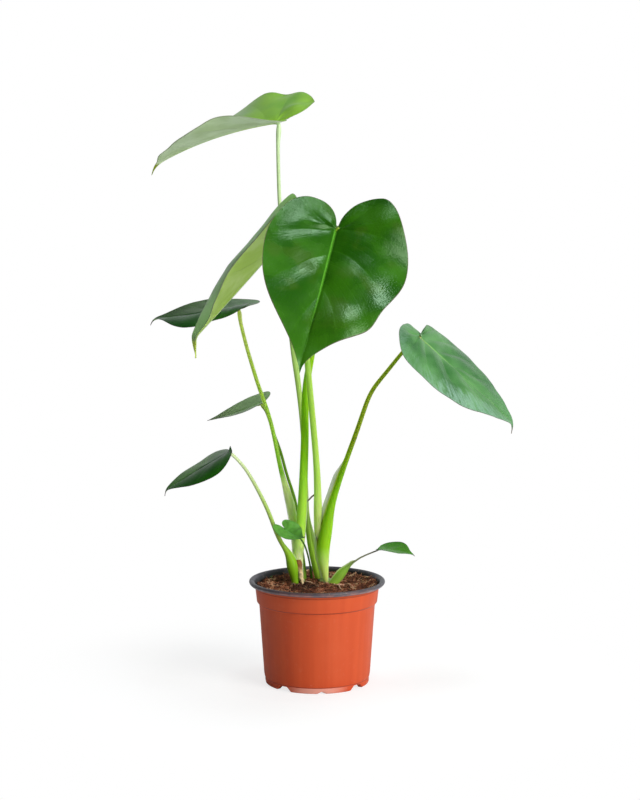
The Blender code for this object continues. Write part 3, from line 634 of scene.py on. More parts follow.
def bend(leaf, half, along, out, relief):
    """Carry flat places of a half onto the folded, curled and waved blade, mm; and its up directions."""
    length = leaf["length"]
    width = leaf["half_width"][half] * length
    place, _, left, up = midrib_frame(leaf, along)
    fold = math.radians(leaf["fold"][half])
    curl = math.radians(leaf["curl"][half]) / width
    v = out * length
    side = HALF_SIGNS[half] * (np.sin(fold + curl * v) - math.sin(fold)) / curl
    rise = (math.cos(fold) - np.cos(fold + curl * v)) / curl
    wave = leaf["wave"][half] * np.sin(2 * math.pi * (1.5 * along + leaf["phase"][half]))
    rise = rise + wave * np.clip(v / width, 0.0, 1.0) ** 2 + relief
    joint = np.array(leaf["joint"], float)
    return joint + place * length + left * side[..., None] + up * rise[..., None], up


def relief_of(name, half, q, share, along, out):
    """Height over the plain blade: groove along the midrib, quilting between the side veins, mm."""
    look = LOOKS[name]
    leaf = LEAVES[name]
    across = np.abs(np.sin(math.pi * (look["veins"] * q + look["vein_phase"][half])))
    swell = 0.5 * across ** 2 + 0.5 - 0.5 * (1.0 - across) ** 2
    fade = ease(share / 0.22) * (1.0 - 0.85 * ease((share - 0.5) / 0.5)) * ease((1.0 - q) / 0.25)
    uneven = layered_noise(along * 6.0 + 9.0 * half, out * 6.0 + 5.0, len(name), 2)
    groove = bell(out * leaf["length"], 0.0, GROOVE_WIDTH) * (1.0 - 0.75 * np.clip(along, 0.0, 1.0))
    quilt = look["quilt"] * look["quilts"][half]
    height = (quilt * (swell - 0.5) * fade + look["uneven"] * uneven * ease(share / 0.3)
              - GROOVE_DEPTH * size_share(leaf) * groove)
    for side, place_along, place_out, reach, amount in look["dents"]:
        if side == half:
            height = height + amount * bell(np.hypot(along - place_along, out - place_out), 0.0, reach)
    return height


def sheet_normals(top, up):
    """Directions square to the blade, on its upper side."""
    normal = unit(np.cross(np.gradient(top, axis=0), np.gradient(top, axis=1)))
    normal = normal * np.where(np.sum(normal * up, -1, keepdims=True) < 0, -1.0, 1.0)
    poor = np.linalg.norm(normal, axis=-1) < 0.5
    normal[poor] = up[poor]
    normal[:, 0] = up[:, 0]
    last = ease((np.linspace(0.0, 1.0, len(top)) - 0.86) / 0.06)[:, None, None]
    return unit(normal * (1.0 - last) + up * last)


def blade_depth(leaf, spread, along, out):
    """Thickness of the blade with its midrib, mm."""
    scale = size_share(leaf)
    rib = RIB_DEPTH * scale * bell(out * leaf["length"], 0.0, RIB_WIDTH * scale)
    rib = rib * (1.0 - 0.8 * np.clip(along, 0.0, 1.0))
    depth = BLADE_THICKNESS + (MARGIN_THICKNESS - BLADE_THICKNESS) * ease((spread - 0.9) / 0.1) + rib
    return depth * (1.0 - 0.6 * ease((along - 0.9) / 0.1))


def half_blade(name, half, counts, share):
    """Upper and lower points of a half in rows from notch to tip, and their two maps."""
    leaf = LEAVES[name]
    root = vein_roots(leaf, counts)
    outline = half_outline(leaf, half, counts)
    walked = walked_length(outline)
    q = np.repeat((walked / walked[-1])[:, None], len(share), 1)
    spread = np.repeat(share[None, :], len(q), 0)
    along = root[:, None] + (outline[:, 0] - root)[:, None] * spread ** 1.6
    out = outline[:, 1][:, None] * spread
    top, up = bend(leaf, half, along, out, relief_of(name, half, q, spread, along, out))
    low = top - sheet_normals(top, up) * blade_depth(leaf, spread, along, out)[..., None]
    veins = np.stack([q + 2.0 * half, spread], -1)
    flat = np.stack([along * leaf["length"], HALF_SIGNS[half] * out * leaf["length"]], -1)
    return top, low, veins.reshape(-1, 2), flat.reshape(-1, 2)


def build_leaf(name):
    """A thin blade with a grooved midrib, quilted between its side veins, its rib standing out below."""
    counts, places = FINE_GRID if LEAVES[name]["length"] > LARGE_LEAF else COARSE_GRID
    share = np.linspace(0.0, 1.0, places) ** 1.35
    share = np.append(share[:-1], [0.992, 1.0])
    rows, cols = sum(counts) + 1, len(share)
    edge = [(i + 1) * cols - 1 for i in range(rows)]
    points, faces, kinds, veins, flat = [], [], [], [], []
    for half in (0, 1):
        top, low, half_veins, half_flat = half_blade(name, half, counts, share)
        start = len(points)
        under = start + rows * cols
        points += top.reshape(-1, 3).tolist() + low.reshape(-1, 3).tolist()
        upper_faces = grid_faces(rows, cols, start)
        rim = [[start + a, start + b, under + b, under + a] for a, b in zip(edge, edge[1:])]
        faces += upper_faces + grid_faces(rows, cols, under, flip=True) + rim
        kinds += [0] * len(upper_faces) + [1] * len(upper_faces) + [0] * len(rim)
        veins += [half_veins, half_veins]
        flat += [half_flat, half_flat]
    maps = {"veins": np.vstack(veins), "flat": np.vstack(flat)}
    add_piece(name + "_blade", points, faces, [upper_material(name), under_material(name)],
              name, kinds, maps)


def vein_pattern(shader, name):
    """Shares from 0 to 1: over the midrib, over the side veins and over the fine veins; and the maps."""
    look = LOOKS[name]
    leaf = LEAVES[name]
    q, share = shader.map("veins")
    x, y = shader.map("flat")
    half = shader.math("GREATER_THAN", q, 1.5)
    q = shader.math("SUBTRACT", q, shader.times(half, 2.0))
    phase, other_phase = look["vein_phase"]
    turns = shader.math("MULTIPLY_ADD", q, look["veins"], phase)
    turns = shader.math("ADD", turns, shader.times(half, other_phase - phase))
    side = shader.range(shader.math("PINGPONG", turns, 0.5), 0.0, 0.045, 1.0, 0.0)
    side = shader.times(side, shader.range(share, 0.75, 1.0, 1.0, 0.0))
    fine = shader.math("PINGPONG", shader.times(turns, 6.0), 0.5)
    fine = shader.range(fine, 0.0, 0.16, 1.0, 0.0)
    along = shader.math("DIVIDE", x, leaf["length"], clamp=True)
    width = shader.range(along, 0.0, 1.0, 1.5 * size_share(leaf), 0.35)
    rib = shader.math("DIVIDE", shader.math("ABSOLUTE", y), width)
    rib = shader.times(shader.range(rib, 0.55, 1.15, 1.0, 0.0), shader.range(x, -2.0, 0.5))
    drip_start = 1.0 - leaf["drip"]
    drip = shader.range(along, drip_start - 0.01, drip_start + 0.03)
    return dict(half=half, rib=rib, side=side, fine=fine, share=share, along=along, x=x, y=y, turns=turns,
                drip=drip)


def leaf_relief(shader, name, pattern, depth):
    """Fine veins and the pebbled skin between them."""
    depth = depth * LOOKS[name]["skin"]
    size = LEAVES[name]["length"] / SKIN_LEAF
    skin = shader.vector(shader.times(pattern["turns"], 1.3), shader.times(pattern["share"], 9.0 * size))
    hatch = shader.noise(skin, 9.0, 3.0, 0.6)
    hatch = shader.times(hatch, shader.range(pattern["share"], 0.45, 0.85, 1.0, 3.0))
    calm = shader.range(pattern["along"], 0.6, 0.95, 1.0, 0.15)
    grain = shader.noise(shader.vector(pattern["x"], pattern["y"]), 0.5)
    normal = shader.bump(shader.times(hatch, calm), depth)
    normal = shader.bump(grain, depth * 0.8, normal)
    normal = shader.bump(comb_streaks(shader, pattern), depth * 2.0, normal)
    return shader.bump(shader.times(pattern["fine"], calm), -depth * 0.3, normal)


def comb_streaks(shader, pattern):
    """Fine streaks that run out to the margin, strongest on the outer half of the blade."""
    flow = shader.vector(shader.times(pattern["turns"], 12.0), shader.times(pattern["share"], 5.0))
    return shader.times(shader.noise(flow, 1.0, 2.0, 0.6), shader.range(pattern["share"], 0.3, 0.8))


def painted_sheen_share(shader, look, pattern, side):
    """How strong the painted sheen is: on one half, out towards its margin, less beside the joint."""
    turned = pattern["half"] if side else shader.math("SUBTRACT", 1.0, pattern["half"])
    uneven = shader.math("MULTIPLY_ADD", shader.noise(shader.place(), 90.0), 0.5, pattern["share"])
    uneven = shader.math("MULTIPLY_ADD", comb_streaks(shader, pattern), look["combed"], uneven)
    turned = shader.times(turned, shader.range(uneven, *look["painted_sheen_from"]))
    return shader.times(turned, shader.range(pattern["along"], 0.12, 0.4, 0.35, 1.0))


def upper_material(name):
    """Glossy upper side in cloudy greens with its midrib, faint side veins, margin, drip tip and painted
    sheen.
    """
    look = LOOKS[name]
    shader = Shader(name + "_upper", look["roughness"], Specular_IOR_Level=look["shine"],
                    Specular_Tint=look["gleam"])
    pattern = vein_pattern(shader, name)
    dark, light = look["dark"], look["light"]
    cloud = shader.noise(shader.place(), 28.0, 3.0)
    patches = shader.range(shader.noise(shader.place(), 41.0), 0.54, 0.68, 0.0, 0.5)
    # Painted sheen: one half is mixed towards a paler, greyer tint that paints the sheen of its gloss.
    side, pale, amount = look["pale"] or (0, light, 0.0)
    hollow = shader.times(shader.range(shader.math("PINGPONG", pattern["turns"], 0.5), 0.1, 0.4),
                          shader.range(pattern["share"], 0.25, 0.6, look["hollow"], 0.0))
    near_rib = shader.range(shader.math("ABSOLUTE", pattern["y"]), 0.0, 22.0, 0.35, 0.0)
    colour = shader.cover(
        shader.mix(shader.range(cloud, 0.38, 0.66), dark, light),
        (patches, look["patch"] or light),
        (shader.times(painted_sheen_share(shader, look, pattern, side), amount), pale),
        # Towards the tip the blade turns to its tip tint, which on leaf_top is painted sheen.
        (shader.range(pattern["along"], 0.45, 0.95, 0.0, 0.6), look["tip"]),
        (hollow, dark),
        (near_rib, light),
        (shader.times(pattern["side"], 0.06), look["rib"]),
        (shader.times(pattern["rib"], shader.range(pattern["along"], *look["rib_fade"])), look["rib"]),
        (shader.range(pattern["share"], 0.988, 0.998), look["margin"]),
        (pattern["drip"], look["drip"]))
    shader.set("Roughness", shader.range(cloud, 0.3, 0.7, look["roughness"] - 0.04, look["roughness"] + 0.06))
    return shader.finish(colour, leaf_relief(shader, name, pattern, 0.00015))


def under_material(name):
    """Matt paler under side with its side veins and midrib standing out."""
    look = LOOKS[name]
    shader = Shader(name + "_under", 0.6, Specular_IOR_Level=0.2)
    pattern = vein_pattern(shader, name)
    cloud = shader.range(shader.noise(shader.place(), 34.0, 3.0), 0.36, 0.66)
    # The under side's tints are its own paler colour brightened further, as painted light that shines through
    # the blade.
    colour = shader.cover(
        shader.mix(cloud, look["dark_below"], look["light_below"]),
        (shader.times(pattern["side"], 0.35), look["under_vein"] or look["rib"]),
        (shader.times(pattern["fine"], 0.08), look["rib"]),
        (pattern["rib"], look["rib"]),
        (shader.range(pattern["share"], 0.975, 0.995), look["margin"]),
        (pattern["drip"], look["drip"]))
    return shader.finish(colour, shader.bump(pattern["side"], 0.0003,
                                             leaf_relief(shader, name, pattern, -0.00003)))


# ---------------------------------------------------------------- stalks
ARC_STEPS = 22
WING_STEPS = 4
GROOVE_STEPS = 5
STALK_RINGS = 120
WING_ANGLE = 0.62               # half the opening of the groove, radians
WING_THICKNESS = 0.5
LOWEST_WING = 0.12
INTO_MIDRIB = 16.0              # how far the stalk runs on under the blade of a full-size leaf


def stalk_axis(name):
    """The stalk's centreline, carried on under the blade into its midrib, and its radii."""
    spec = STALKS[name]
    look = STALK_LOOKS[name]
    leaf = LEAVES[spec["leaf"]]
    _, ahead, _, up = (part[0] for part in midrib_frame(leaf, np.array([0.0])))
    base, middle, tip = spec["radii"]
    joint = np.array(leaf["joint"], float)
    scale = size_share(leaf)
    into = [joint - up * 3.6 * scale - ahead * 1.6 * scale, joint + ahead * 3.5 * scale - up * 1.0 * tip,
            joint + ahead * INTO_MIDRIB * scale - up * (0.3 + 0.5 * scale)]
    path = smooth_path(spec["path"] + [tuple(p) for p in into], STALK_RINGS)
    walked = walked_length(path)
    t = walked / (walked[-1] - INTO_MIDRIB * scale)
    sheath = spec["sheath"]
    low = ease(1.0 - t / sheath)
    high = np.clip((t - sheath) / (1.0 - sheath), 0.0, 1.0)
    fat_foot, fat_middle = look["fat"]
    middle *= fat_middle
    radii = middle + (base * fat_foot - middle) * low + (tip - middle) * high
    reach, narrowed = look["waist"]
    radii = radii * (1.0 - narrowed * ease((reach - t) / reach))
    place, spread, amount = look["belly"]
    radii = radii * (1.0 + amount * bell(t, place, spread))
    for place, spread, shift in look["nudge"]:
        path = path + bell(t, place, spread)[:, None] * np.array(shift)
    swell = 1.0 + look["swell"] * bell(t, 0.985, 0.025)
    end = 1.0 - 0.85 * np.clip((t - 0.98) / (t[-1] - 0.98), 0.0, 1.0)
    return path, radii * swell * end, t, walked


def stalk_rows(path, radii, wing, facing, other):
    """Rows of points that run along the stalk, and how far up a thin edge each row lies."""
    rows = []
    marks = []

    def add(place, mark=0.0):
        rows.append(place)
        marks.append(mark)

    def outward(angle):
        return facing * math.cos(angle) + other * math.sin(angle)

    def standing_edge(angle, steps):
        """One thin standing edge: up its outer face and down its inner face, or the other way."""
        out = outward(angle)
        across = (other * math.cos(angle) - facing * math.sin(angle)) * (1.0 if angle > 0 else -1.0)
        lean = unit(out + facing * 0.9)
        for k, face in steps:
            share = k / WING_STEPS
            thick = 0.5 * WING_THICKNESS * (1.0 - 0.7 * share) * np.minimum(wing / 0.5, 1.0)
            add(path + out * (radii * 0.97)[:, None] + lean * (wing * share)[:, None]
                + across * (face * thick)[:, None], share)

    rise = range(1, WING_STEPS + 1)
    for angle in np.linspace(WING_ANGLE, 2 * math.pi - WING_ANGLE, ARC_STEPS):
        add(path + outward(angle) * radii[:, None])
    standing_edge(-WING_ANGLE, [(k, 1) for k in rise] + [(k, -1) for k in reversed(rise)])
    for angle in np.linspace(-WING_ANGLE, WING_ANGLE, GROOVE_STEPS + 2)[1:-1]:
        keep = 1.0 - 0.30 * math.cos(angle / WING_ANGLE * math.pi / 2)
        add(path + outward(angle) * (radii * keep)[:, None])
    standing_edge(WING_ANGLE, [(k, -1) for k in rise] + [(k, 1) for k in reversed(rise)])
    return np.stack(rows, 1), np.array(marks)


def build_stalk(name):
    """A grooved stalk whose sheath stands up in two thin edges along the lower part."""
    side, wing_end, wing_height = STALK_LOOKS[name]["wing"]
    path, radii, t, walked = stalk_axis(name)
    way = unit(np.gradient(path, axis=0))
    side = np.array(side, float)
    facing = unit(side - way * (way @ side)[:, None])
    wing = wing_height * ease((wing_end - t) / 0.09) * (0.25 + 0.75 * ease(t / (0.6 * wing_end)))
    wing = np.maximum(wing, LOWEST_WING)
    points, marks = stalk_rows(path, radii, wing, facing, np.cross(way, facing))
    count, around = points.shape[:2]
    marks = marks[None, :] * np.clip((wing - 2 * LOWEST_WING) / 0.5, 0.0, 1.0)[:, None]
    turn = np.broadcast_to(np.arange(around) / around, (count, around))
    height, distance = (np.broadcast_to(v[:, None], (count, around)) for v in (t, walked))
    maps = {"stalk": np.stack([marks, height], -1).reshape(-1, 2),
            "round": np.stack([turn, distance], -1).reshape(-1, 2)}
    add_piece(name + "_skin", points, tube_faces(count, around), [stalk_material(name)], name,
              maps=maps)


def stalk_material(name):
    """Fleshy skin that lets light through, tinted along the stalk, with fine streaks and pale edges."""
    look = STALK_LOOKS[name]
    shader = Shader(name + "_skin", 0.45, Specular_IOR_Level=0.18, Subsurface_Weight=look["glow"],
                    Subsurface_Scale=0.014, Subsurface_Radius=(0.8, 1.0, 0.45))
    mark, height = shader.map("stalk")
    turn, walked = shader.map("round")
    streak = shader.noise(shader.vector(shader.times(turn, 26.0), shader.times(walked, 0.03)), 1.0, 3.0)
    colour = shader.ramp(height, look["tints"])
    colour = shader.mix(shader.range(streak, 0.35, 0.7, 0.0, 0.5), colour, "E8E8E0", "MULTIPLY")
    colour = shader.mix(shader.range(mark, 0.1, 0.6, 0.0, 0.6), colour, "CCE4A0")
    return shader.finish(colour, shader.bump(streak, 0.00001))


# ---------------------------------------------------------------- pot
POT_STEPS = 480
BEAD_HEIGHT = 85.4              # a fine step round the collar under the lip
BEAD_STEP = 0.35
FOOT_CREASE = 5.3               # a fine crease above the feet
COLLAR_EDGE = COLLAR_FOOT_HEIGHT + 1.1
LIP_BOTTOM = POT_HEIGHT - LIP_HEIGHT - 0.9
STEP_DROP = 1.5                 # height of the sharp step at the foot of the collar
SMALL_ROUND = 0.5
LIP_ROUND = 0.9
NOTCH_RISE = 5.0                # half the floor of a wide notch, and the width of a slope, degrees
# height, half width in mm and strength of the painted shade lines in the creases of the pot
CREASE_SHADE_LINES = ((COLLAR_EDGE - 0.7, 0.8, 0.6), (BEAD_HEIGHT - 0.2, 0.6, 0.6), (FOOT_CREASE, 0.6, 0.6))


def foot_amount(angle):
    """1 on the feet of the pot, less in the notches; angle in degrees from the front."""
    from_wide, from_small = (abs((angle - at + 45) % 90 - 45) for at in (WIDE_NOTCH_AT, SMALL_NOTCH_AT))
    amount = min(max((from_wide - NOTCH_RISE) / NOTCH_RISE, 0.0), 1.0)
    return min(amount, SMALL_NOTCH_KEEP + (1 - SMALL_NOTCH_KEEP) * min(from_small / NOTCH_RISE, 1.0))


def rounded(profile, radius, steps=3):
    """Round the corners of a profile of (radius, height, foot share)."""
    p = np.array(profile, float)
    made = [p[0]]
    for before, corner, after in zip(p, p[1:], p[2:]):
        ends = []
        for other in (before, after):
            length = np.linalg.norm((other - corner)[:2])
            ends.append(corner + (other - corner) * min(radius, 0.45 * length) / length)
        for t in np.linspace(0.0, 1.0, steps + 1):
            made.append((1 - t) ** 2 * ends[0] + 2 * t * (1 - t) * corner + t * t * ends[1])
    made.append(p[-1])
    return np.array(made)


def turned_points(profile, steps):
    """Points of a profile turned about the pot's axis, one row of points for each profile place."""
    degrees = np.arange(steps) * 360.0 / steps
    turn = np.radians(degrees)
    foot = np.array([foot_amount(a) for a in degrees])
    radius, height, share = (profile[:, k][:, None] for k in range(3))
    x, y, z = radius * np.sin(turn), -radius * np.cos(turn), height - share * FOOT_DROP * foot[None, :]
    return np.stack([x, y, z], -1)


def build_pot():
    """Terracotta-coloured outside with collar, step and notched feet; black lip and inside."""
    top = POT_HEIGHT
    outside = rounded([
        (0.0, 0.0, 0), (CENTRE_PAD_RADIUS, 0.0, 0), (CENTRE_PAD_RADIUS + 2, FLOOR_UNDERSIDE, 0),
        (40.0, FLOOR_UNDERSIDE, 0), (41.4, FLOOR_UNDERSIDE, 1), (45.2, FLOOR_UNDERSIDE, 1),
        (46.0, FLOOR_UNDERSIDE + 0.3, 0.9), (46.0, FOOT_CREASE - 0.2, 0), (45.8, FOOT_CREASE, 0),
        (46.5, FOOT_CREASE + 0.5, 0), (BODY_FOOT_RADIUS + 1.1, BODY_FOOT_HEIGHT + 1.0, 0),
        (BODY_TOP_RADIUS, BODY_TOP_HEIGHT, 0), (BODY_TOP_RADIUS + 0.4, COLLAR_EDGE - STEP_DROP, 0),
        (COLLAR_FOOT_RADIUS, COLLAR_EDGE, 0), (COLLAR_TOP_RADIUS - BEAD_STEP, BEAD_HEIGHT, 0),
        (COLLAR_TOP_RADIUS, BEAD_HEIGHT + 0.5, 0), (COLLAR_TOP_RADIUS + 0.2, LIP_BOTTOM, 0),
    ], SMALL_ROUND)
    lip = rounded([
        (COLLAR_TOP_RADIUS + 0.2, LIP_BOTTOM, 0), (RIM_RADIUS - 1.5, LIP_BOTTOM, 0),
        (RIM_RADIUS, LIP_BOTTOM + 1.8, 0), (RIM_RADIUS, top - 0.9, 0), (RIM_RADIUS - 0.9, top, 0),
        (RIM_RADIUS - 2.6, top, 0), (COLLAR_TOP_RADIUS + 0.6, top - 1.0, 0),
        (COLLAR_TOP_RADIUS - WALL, top - LIP_HEIGHT - 2.0, 0),
        (COLLAR_FOOT_RADIUS - WALL, COLLAR_EDGE + 0.8, 0),
        (BODY_TOP_RADIUS - WALL, COLLAR_EDGE - STEP_DROP + 0.2, 0),
        (BODY_FOOT_RADIUS - WALL, BODY_FOOT_HEIGHT + 0.2, 0), (44.0, FLOOR_TOP + 1.2, 0),
        (0.0, FLOOR_TOP + 1.2, 0),
    ], LIP_ROUND, 5)
    profile = np.vstack([outside, lip[1:]])
    rows = len(profile)
    kinds = np.repeat([0] * (len(outside) - 1) + [1] * (rows - len(outside)), POT_STEPS)
    faces = grid_faces(rows, POT_STEPS, around=True)
    piece = add_piece("pot_shell", turned_points(profile, POT_STEPS), faces,
                      [pot_material(), lip_material()], "pot", kinds.tolist())
    cut_drains(piece)


def cut_drains(piece):
    """Cut the drainage holes through the floor of the pot."""
    cutter = bmesh.new()
    for turn in full_turn(DRAIN_COUNT):
        made = bmesh.ops.create_cone(cutter, cap_ends=True, segments=32, radius1=DRAIN_RADIUS * MM,
                                     radius2=DRAIN_RADIUS * MM, depth=8 * MM)
        shift = Vector((DRAIN_CIRCLE * math.cos(turn), DRAIN_CIRCLE * math.sin(turn), FLOOR_TOP)) * MM
        bmesh.ops.translate(cutter, verts=made["verts"], vec=shift)
    mesh = bpy.data.meshes.new("drains")
    cutter.to_mesh(mesh)
    cutter.free()
    tool = bpy.data.objects.new("drains", mesh)
    bpy.context.scene.collection.objects.link(tool)
    step = piece.modifiers.new("drains", "BOOLEAN")
    step.operation = "DIFFERENCE"
    step.object = tool
    bpy.context.view_layer.update()
    shaped = bpy.data.meshes.new_from_object(piece.evaluated_get(bpy.context.evaluated_depsgraph_get()))
    piece.modifiers.clear()
    piece.data = shaped
    bpy.data.objects.remove(tool)


def pot_material():
    """Matt moulded plastic with faint drawn streaks, a few dull scuffs, painted shade in its creases and a
    painted highlight along the front of the foot.
    """
    shader = Shader("pot_outside", 0.55, Specular_IOR_Level=0.35, Sheen_Weight=0.08, Sheen_Roughness=0.5)
    place = shader.place()
    x, y, height = shader.split(place)
    turn = shader.math("ARCTAN2", y, x)
    streak = shader.noise(shader.vector(shader.times(turn, 6.0), shader.times(height, 4.0)), 1.0, 4.0)
    cloud = shader.noise(place, 24.0, 3.0)
    scuff = shader.range(shader.noise(place, 210.0), 0.62, 0.74)
    low = shader.range(height, 0.0, 0.012, 1.0, 0.0)
    front_highlight = shader.range(y, -0.047, -0.036, 0.75, 0.0)
    foot = shader.range(height, (FOOT_CREASE - 0.8) * MM, (FOOT_CREASE - 0.2) * MM, 1.0, 0.0)
    # Painted shade: dark lines where shade falls in the creases under the collar, under the bead and above
    # the feet.
    crease_shade_layers = []
    for crease, width, share in CREASE_SHADE_LINES:
        off = shader.math("ABSOLUTE", shader.math("SUBTRACT", height, crease * MM))
        crease_shade_layers.append((shader.range(off, 0.2 * width * MM, width * MM, share, 0.0), "7A2814"))
    colour = shader.cover(
        shader.mix(shader.range(streak, 0.2, 0.8), "CE4C1E", "DA5828"),
        (shader.range(cloud, 0.5, 0.8, 0.0, 0.2), "DE6A40"),
        (shader.times(scuff, shader.math("MULTIPLY_ADD", low, 0.35, 0.05)), "E8A088"),
        # Painted highlight: a pale band along the front of the foot, under the foot crease.
        (shader.times(front_highlight, foot), "F4B8A8"),
        *crease_shade_layers)
    shader.set("Roughness", shader.range(cloud, 0.3, 0.7, 0.5, 0.6))
    grain = shader.noise(place, 2600.0, 1.0)
    return shader.finish(colour, shader.bump(grain, 0.00003, shader.bump(streak, 0.00005)))


def lip_material():
    """Black plastic of the inside, a painted highlight in mottled dusty grey on the lower part of the lip's
    outer face, browner at the front, and brown with soil in places.
    """
    shader = Shader("pot_lip", 0.42, Specular_IOR_Level=0.5)
    place = shader.place()
    x, y, height = shader.split(place)
    dust_and_highlight = shader.noise(place, 160.0, 4.0, 0.65)
    reach = shader.length(shader.vector(x, y))
    outer = shader.range(reach, (RIM_RADIUS - 2.2) * MM, (RIM_RADIUS - 0.6) * MM)
    top = shader.range(height, (POT_HEIGHT - 2.6) * MM, (POT_HEIGHT - 1.6) * MM)
    front_highlight = shader.range(y, -0.058, -0.02, 0.8, 0.0)
    crumbs = shader.range(shader.noise(place, 420.0), 0.66, 0.73, 0.0, 0.7)
    # Painted highlight: a mottled grey band, browner at the front.
    lip_highlight = shader.cover(
        shader.mix(shader.range(dust_and_highlight, 0.42, 0.7), "6C6870", "A8A6AC"),
        (shader.times(front_highlight, shader.range(dust_and_highlight, 0.35, 0.6)), "A86E66"))
    # The painted highlight lies on the lip's outer face and fades out towards its top, which stays dark.
    colour = shader.cover(
        shader.mix(top, "101014", "34303A"),
        (shader.times(outer, shader.math("MULTIPLY_ADD", top, -0.7, 1.0)), lip_highlight),
        (crumbs, "9A7A64"))
    shader.set("Roughness", shader.range(dust_and_highlight, 0.3, 0.7, 0.36, 0.52))
    return shader.finish(colour, shader.bump(dust_and_highlight, 0.0002))


# ---------------------------------------------------------------- growing mix
SOIL_RINGS = 110
SOIL_STEPS = 300
SOIL_EDGE_RADIUS = 53.4
SOIL_EDGE_DEPTH = 8.0           # how far the edge of the surface reaches down into its solid
CHIP_COUNT = 1500
FIBRE_COUNT = 1900
FIBRE_POINTS = 7
SEED = 11
WET_PATCH = (-10.0, -8.0, 87.0)  # middle of the dark wet patch, mm


def soil_height(x, y):
    """Height of the growing mix, mm: crumbs, clods and a slight rise round the stems."""
    clods = layered_noise(x / 7.0 + 20, y / 7.0 + 20, 3, 2)
    crumbs = layered_noise(x / 2.2 + 31, y / 2.2 + 7, 8, 3)
    mound = 1.6 * np.exp(-((x + 3) ** 2 + (y - 10) ** 2) / 400.0)
    edge = ease((np.hypot(x, y) - 40.0) / 12.0)
    bank = 1.0 + 2.6 * ease((0.75 * x + 0.65 * y + 10.0) / 40.0)
    return SOIL_TOP - 0.6 + 1.1 * clods + 0.9 * np.maximum(crumbs, -0.6) + mound + edge * (bank - 1.0)


def build_soil():
    """The crumbly surface of the growing mix over its solid."""
    radius = np.append(np.linspace(0.0, SOIL_EDGE_RADIUS, SOIL_RINGS), SOIL_EDGE_RADIUS)[:, None]
    turn = full_turn(SOIL_STEPS)[None, :]
    x, y = radius * np.cos(turn), radius * np.sin(turn)
    z = soil_height(x, y)
    z[-1] = SOIL_TOP - SOIL_EDGE_DEPTH
    add_piece("soil_surface", np.stack([x, y, z], -1), grid_faces(SOIL_RINGS + 1, SOIL_STEPS, around=True),
              [soil_material()], "soil")


def near_stem(x, y):
    """True where a stem stands in the growing mix."""
    return any(math.hypot(x - c["centre"][0], y - c["centre"][1]) < c["radius"] for c in CROWNS.values())


def build_fibres(rng):
    """Loose coconut fibres lying on the growing mix."""
    points, faces = [], []
    s = np.linspace(-0.5, 0.5, FIBRE_POINTS)
    for _ in range(FIBRE_COUNT):
        r, a = (SOIL_EDGE_RADIUS - 3) * math.sqrt(rng.random()), rng.random() * 2 * math.pi
        x, y, heading = r * math.cos(a), r * math.sin(a), rng.random() * 2 * math.pi
        length, bow, tilt = rng.uniform(2.5, 11.0), rng.uniform(-0.7, 0.7), rng.uniform(-0.12, 0.35)
        px = x + length * (s * math.cos(heading) - bow * s * s * math.sin(heading))
        py = y + length * (s * math.sin(heading) + bow * s * s * math.cos(heading))
        if near_stem(x, y) or np.hypot(px, py).max() > SOIL_EDGE_RADIUS - 0.5:
            continue
        pz = soil_height(px, py) + 0.25 + np.maximum(s, 0.0) * length * tilt
        radii = np.full(FIBRE_POINTS, rng.uniform(0.10, 0.27))
        new_points, new_faces = thin_tube(np.stack([px, py, pz], -1), radii, 4, len(points))
        points += new_points
        faces += new_faces
    add_piece("soil_fibres", points, faces, [fibre_material()])


def build_chips(rng):
    """Small eight-sided bark chips lying on the growing mix."""
    points, faces = [], []
    for _ in range(CHIP_COUNT):
        r, a = (SOIL_EDGE_RADIUS - 2) * math.sqrt(rng.random()), rng.random() * 2 * math.pi
        x, y = r * math.cos(a), r * math.sin(a)
        if near_stem(x, y):
            continue
        size = rng.uniform(0.5, 1.7) * np.array([1.0, rng.uniform(0.45, 0.9), rng.uniform(0.3, 0.6)])
        axes = np.linalg.qr(rng.normal(size=(3, 3)))[0]
        middle = np.array([x, y, float(soil_height(np.array(x), np.array(y))) + 0.2])
        corners = np.array([(1, 0, 0), (-1, 0, 0), (0, 1, 0), (0, -1, 0), (0, 0, 1), (0, 0, -1)], float)
        corners = corners * size * rng.uniform(0.7, 1.2, (6, 1))
        start = len(points)
        points += (middle + corners @ axes).tolist()
        for a, b in ((0, 2), (2, 1), (1, 3), (3, 0)):
            faces.append([start + a, start + b, start + 4])
            faces.append([start + b, start + a, start + 5])
    chips = add_piece("soil_chips", points, faces, [soil_material("chip", "4A2E20", "7A4E36")])
    chips.data.polygons.foreach_set("use_smooth", [False] * len(chips.data.polygons))


def wet_share(shader, place):
    """1 where the growing mix is dark and wet, in front of the left stem."""
    away = shader.node("VectorMath", place, [MM * k for k in WET_PATCH], operation="DISTANCE")
    ragged = shader.math("MULTIPLY_ADD", shader.noise(place, 130.0), 0.014, away.outputs["Value"])
    return shader.range(ragged, 0.015, 0.025, 0.85, 0.0)


def soil_material(name="soil", dark="120804", light="684230"):
    """Dark crumbs with reddish and tan bits, darker where it is wet."""
    shader = Shader(name + "_crumbs", 0.92, Specular_IOR_Level=0.25)
    place = shader.place()
    crumbs = shader.noise(place, 620.0, 4.0, 0.7)
    colour = shader.cover(
        shader.mix(shader.range(crumbs, 0.38, 0.64), dark, light),
        (shader.range(shader.noise(place, 190.0), 0.52, 0.68, 0.0, 0.6), "8A4C34"),
        (shader.range(shader.noise(place, 900.0), 0.62, 0.72, 0.0, 0.8), "B88C68"),
        (wet_share(shader, place), "140C08"))
    return shader.finish(colour, shader.bump(crumbs, 0.0012))


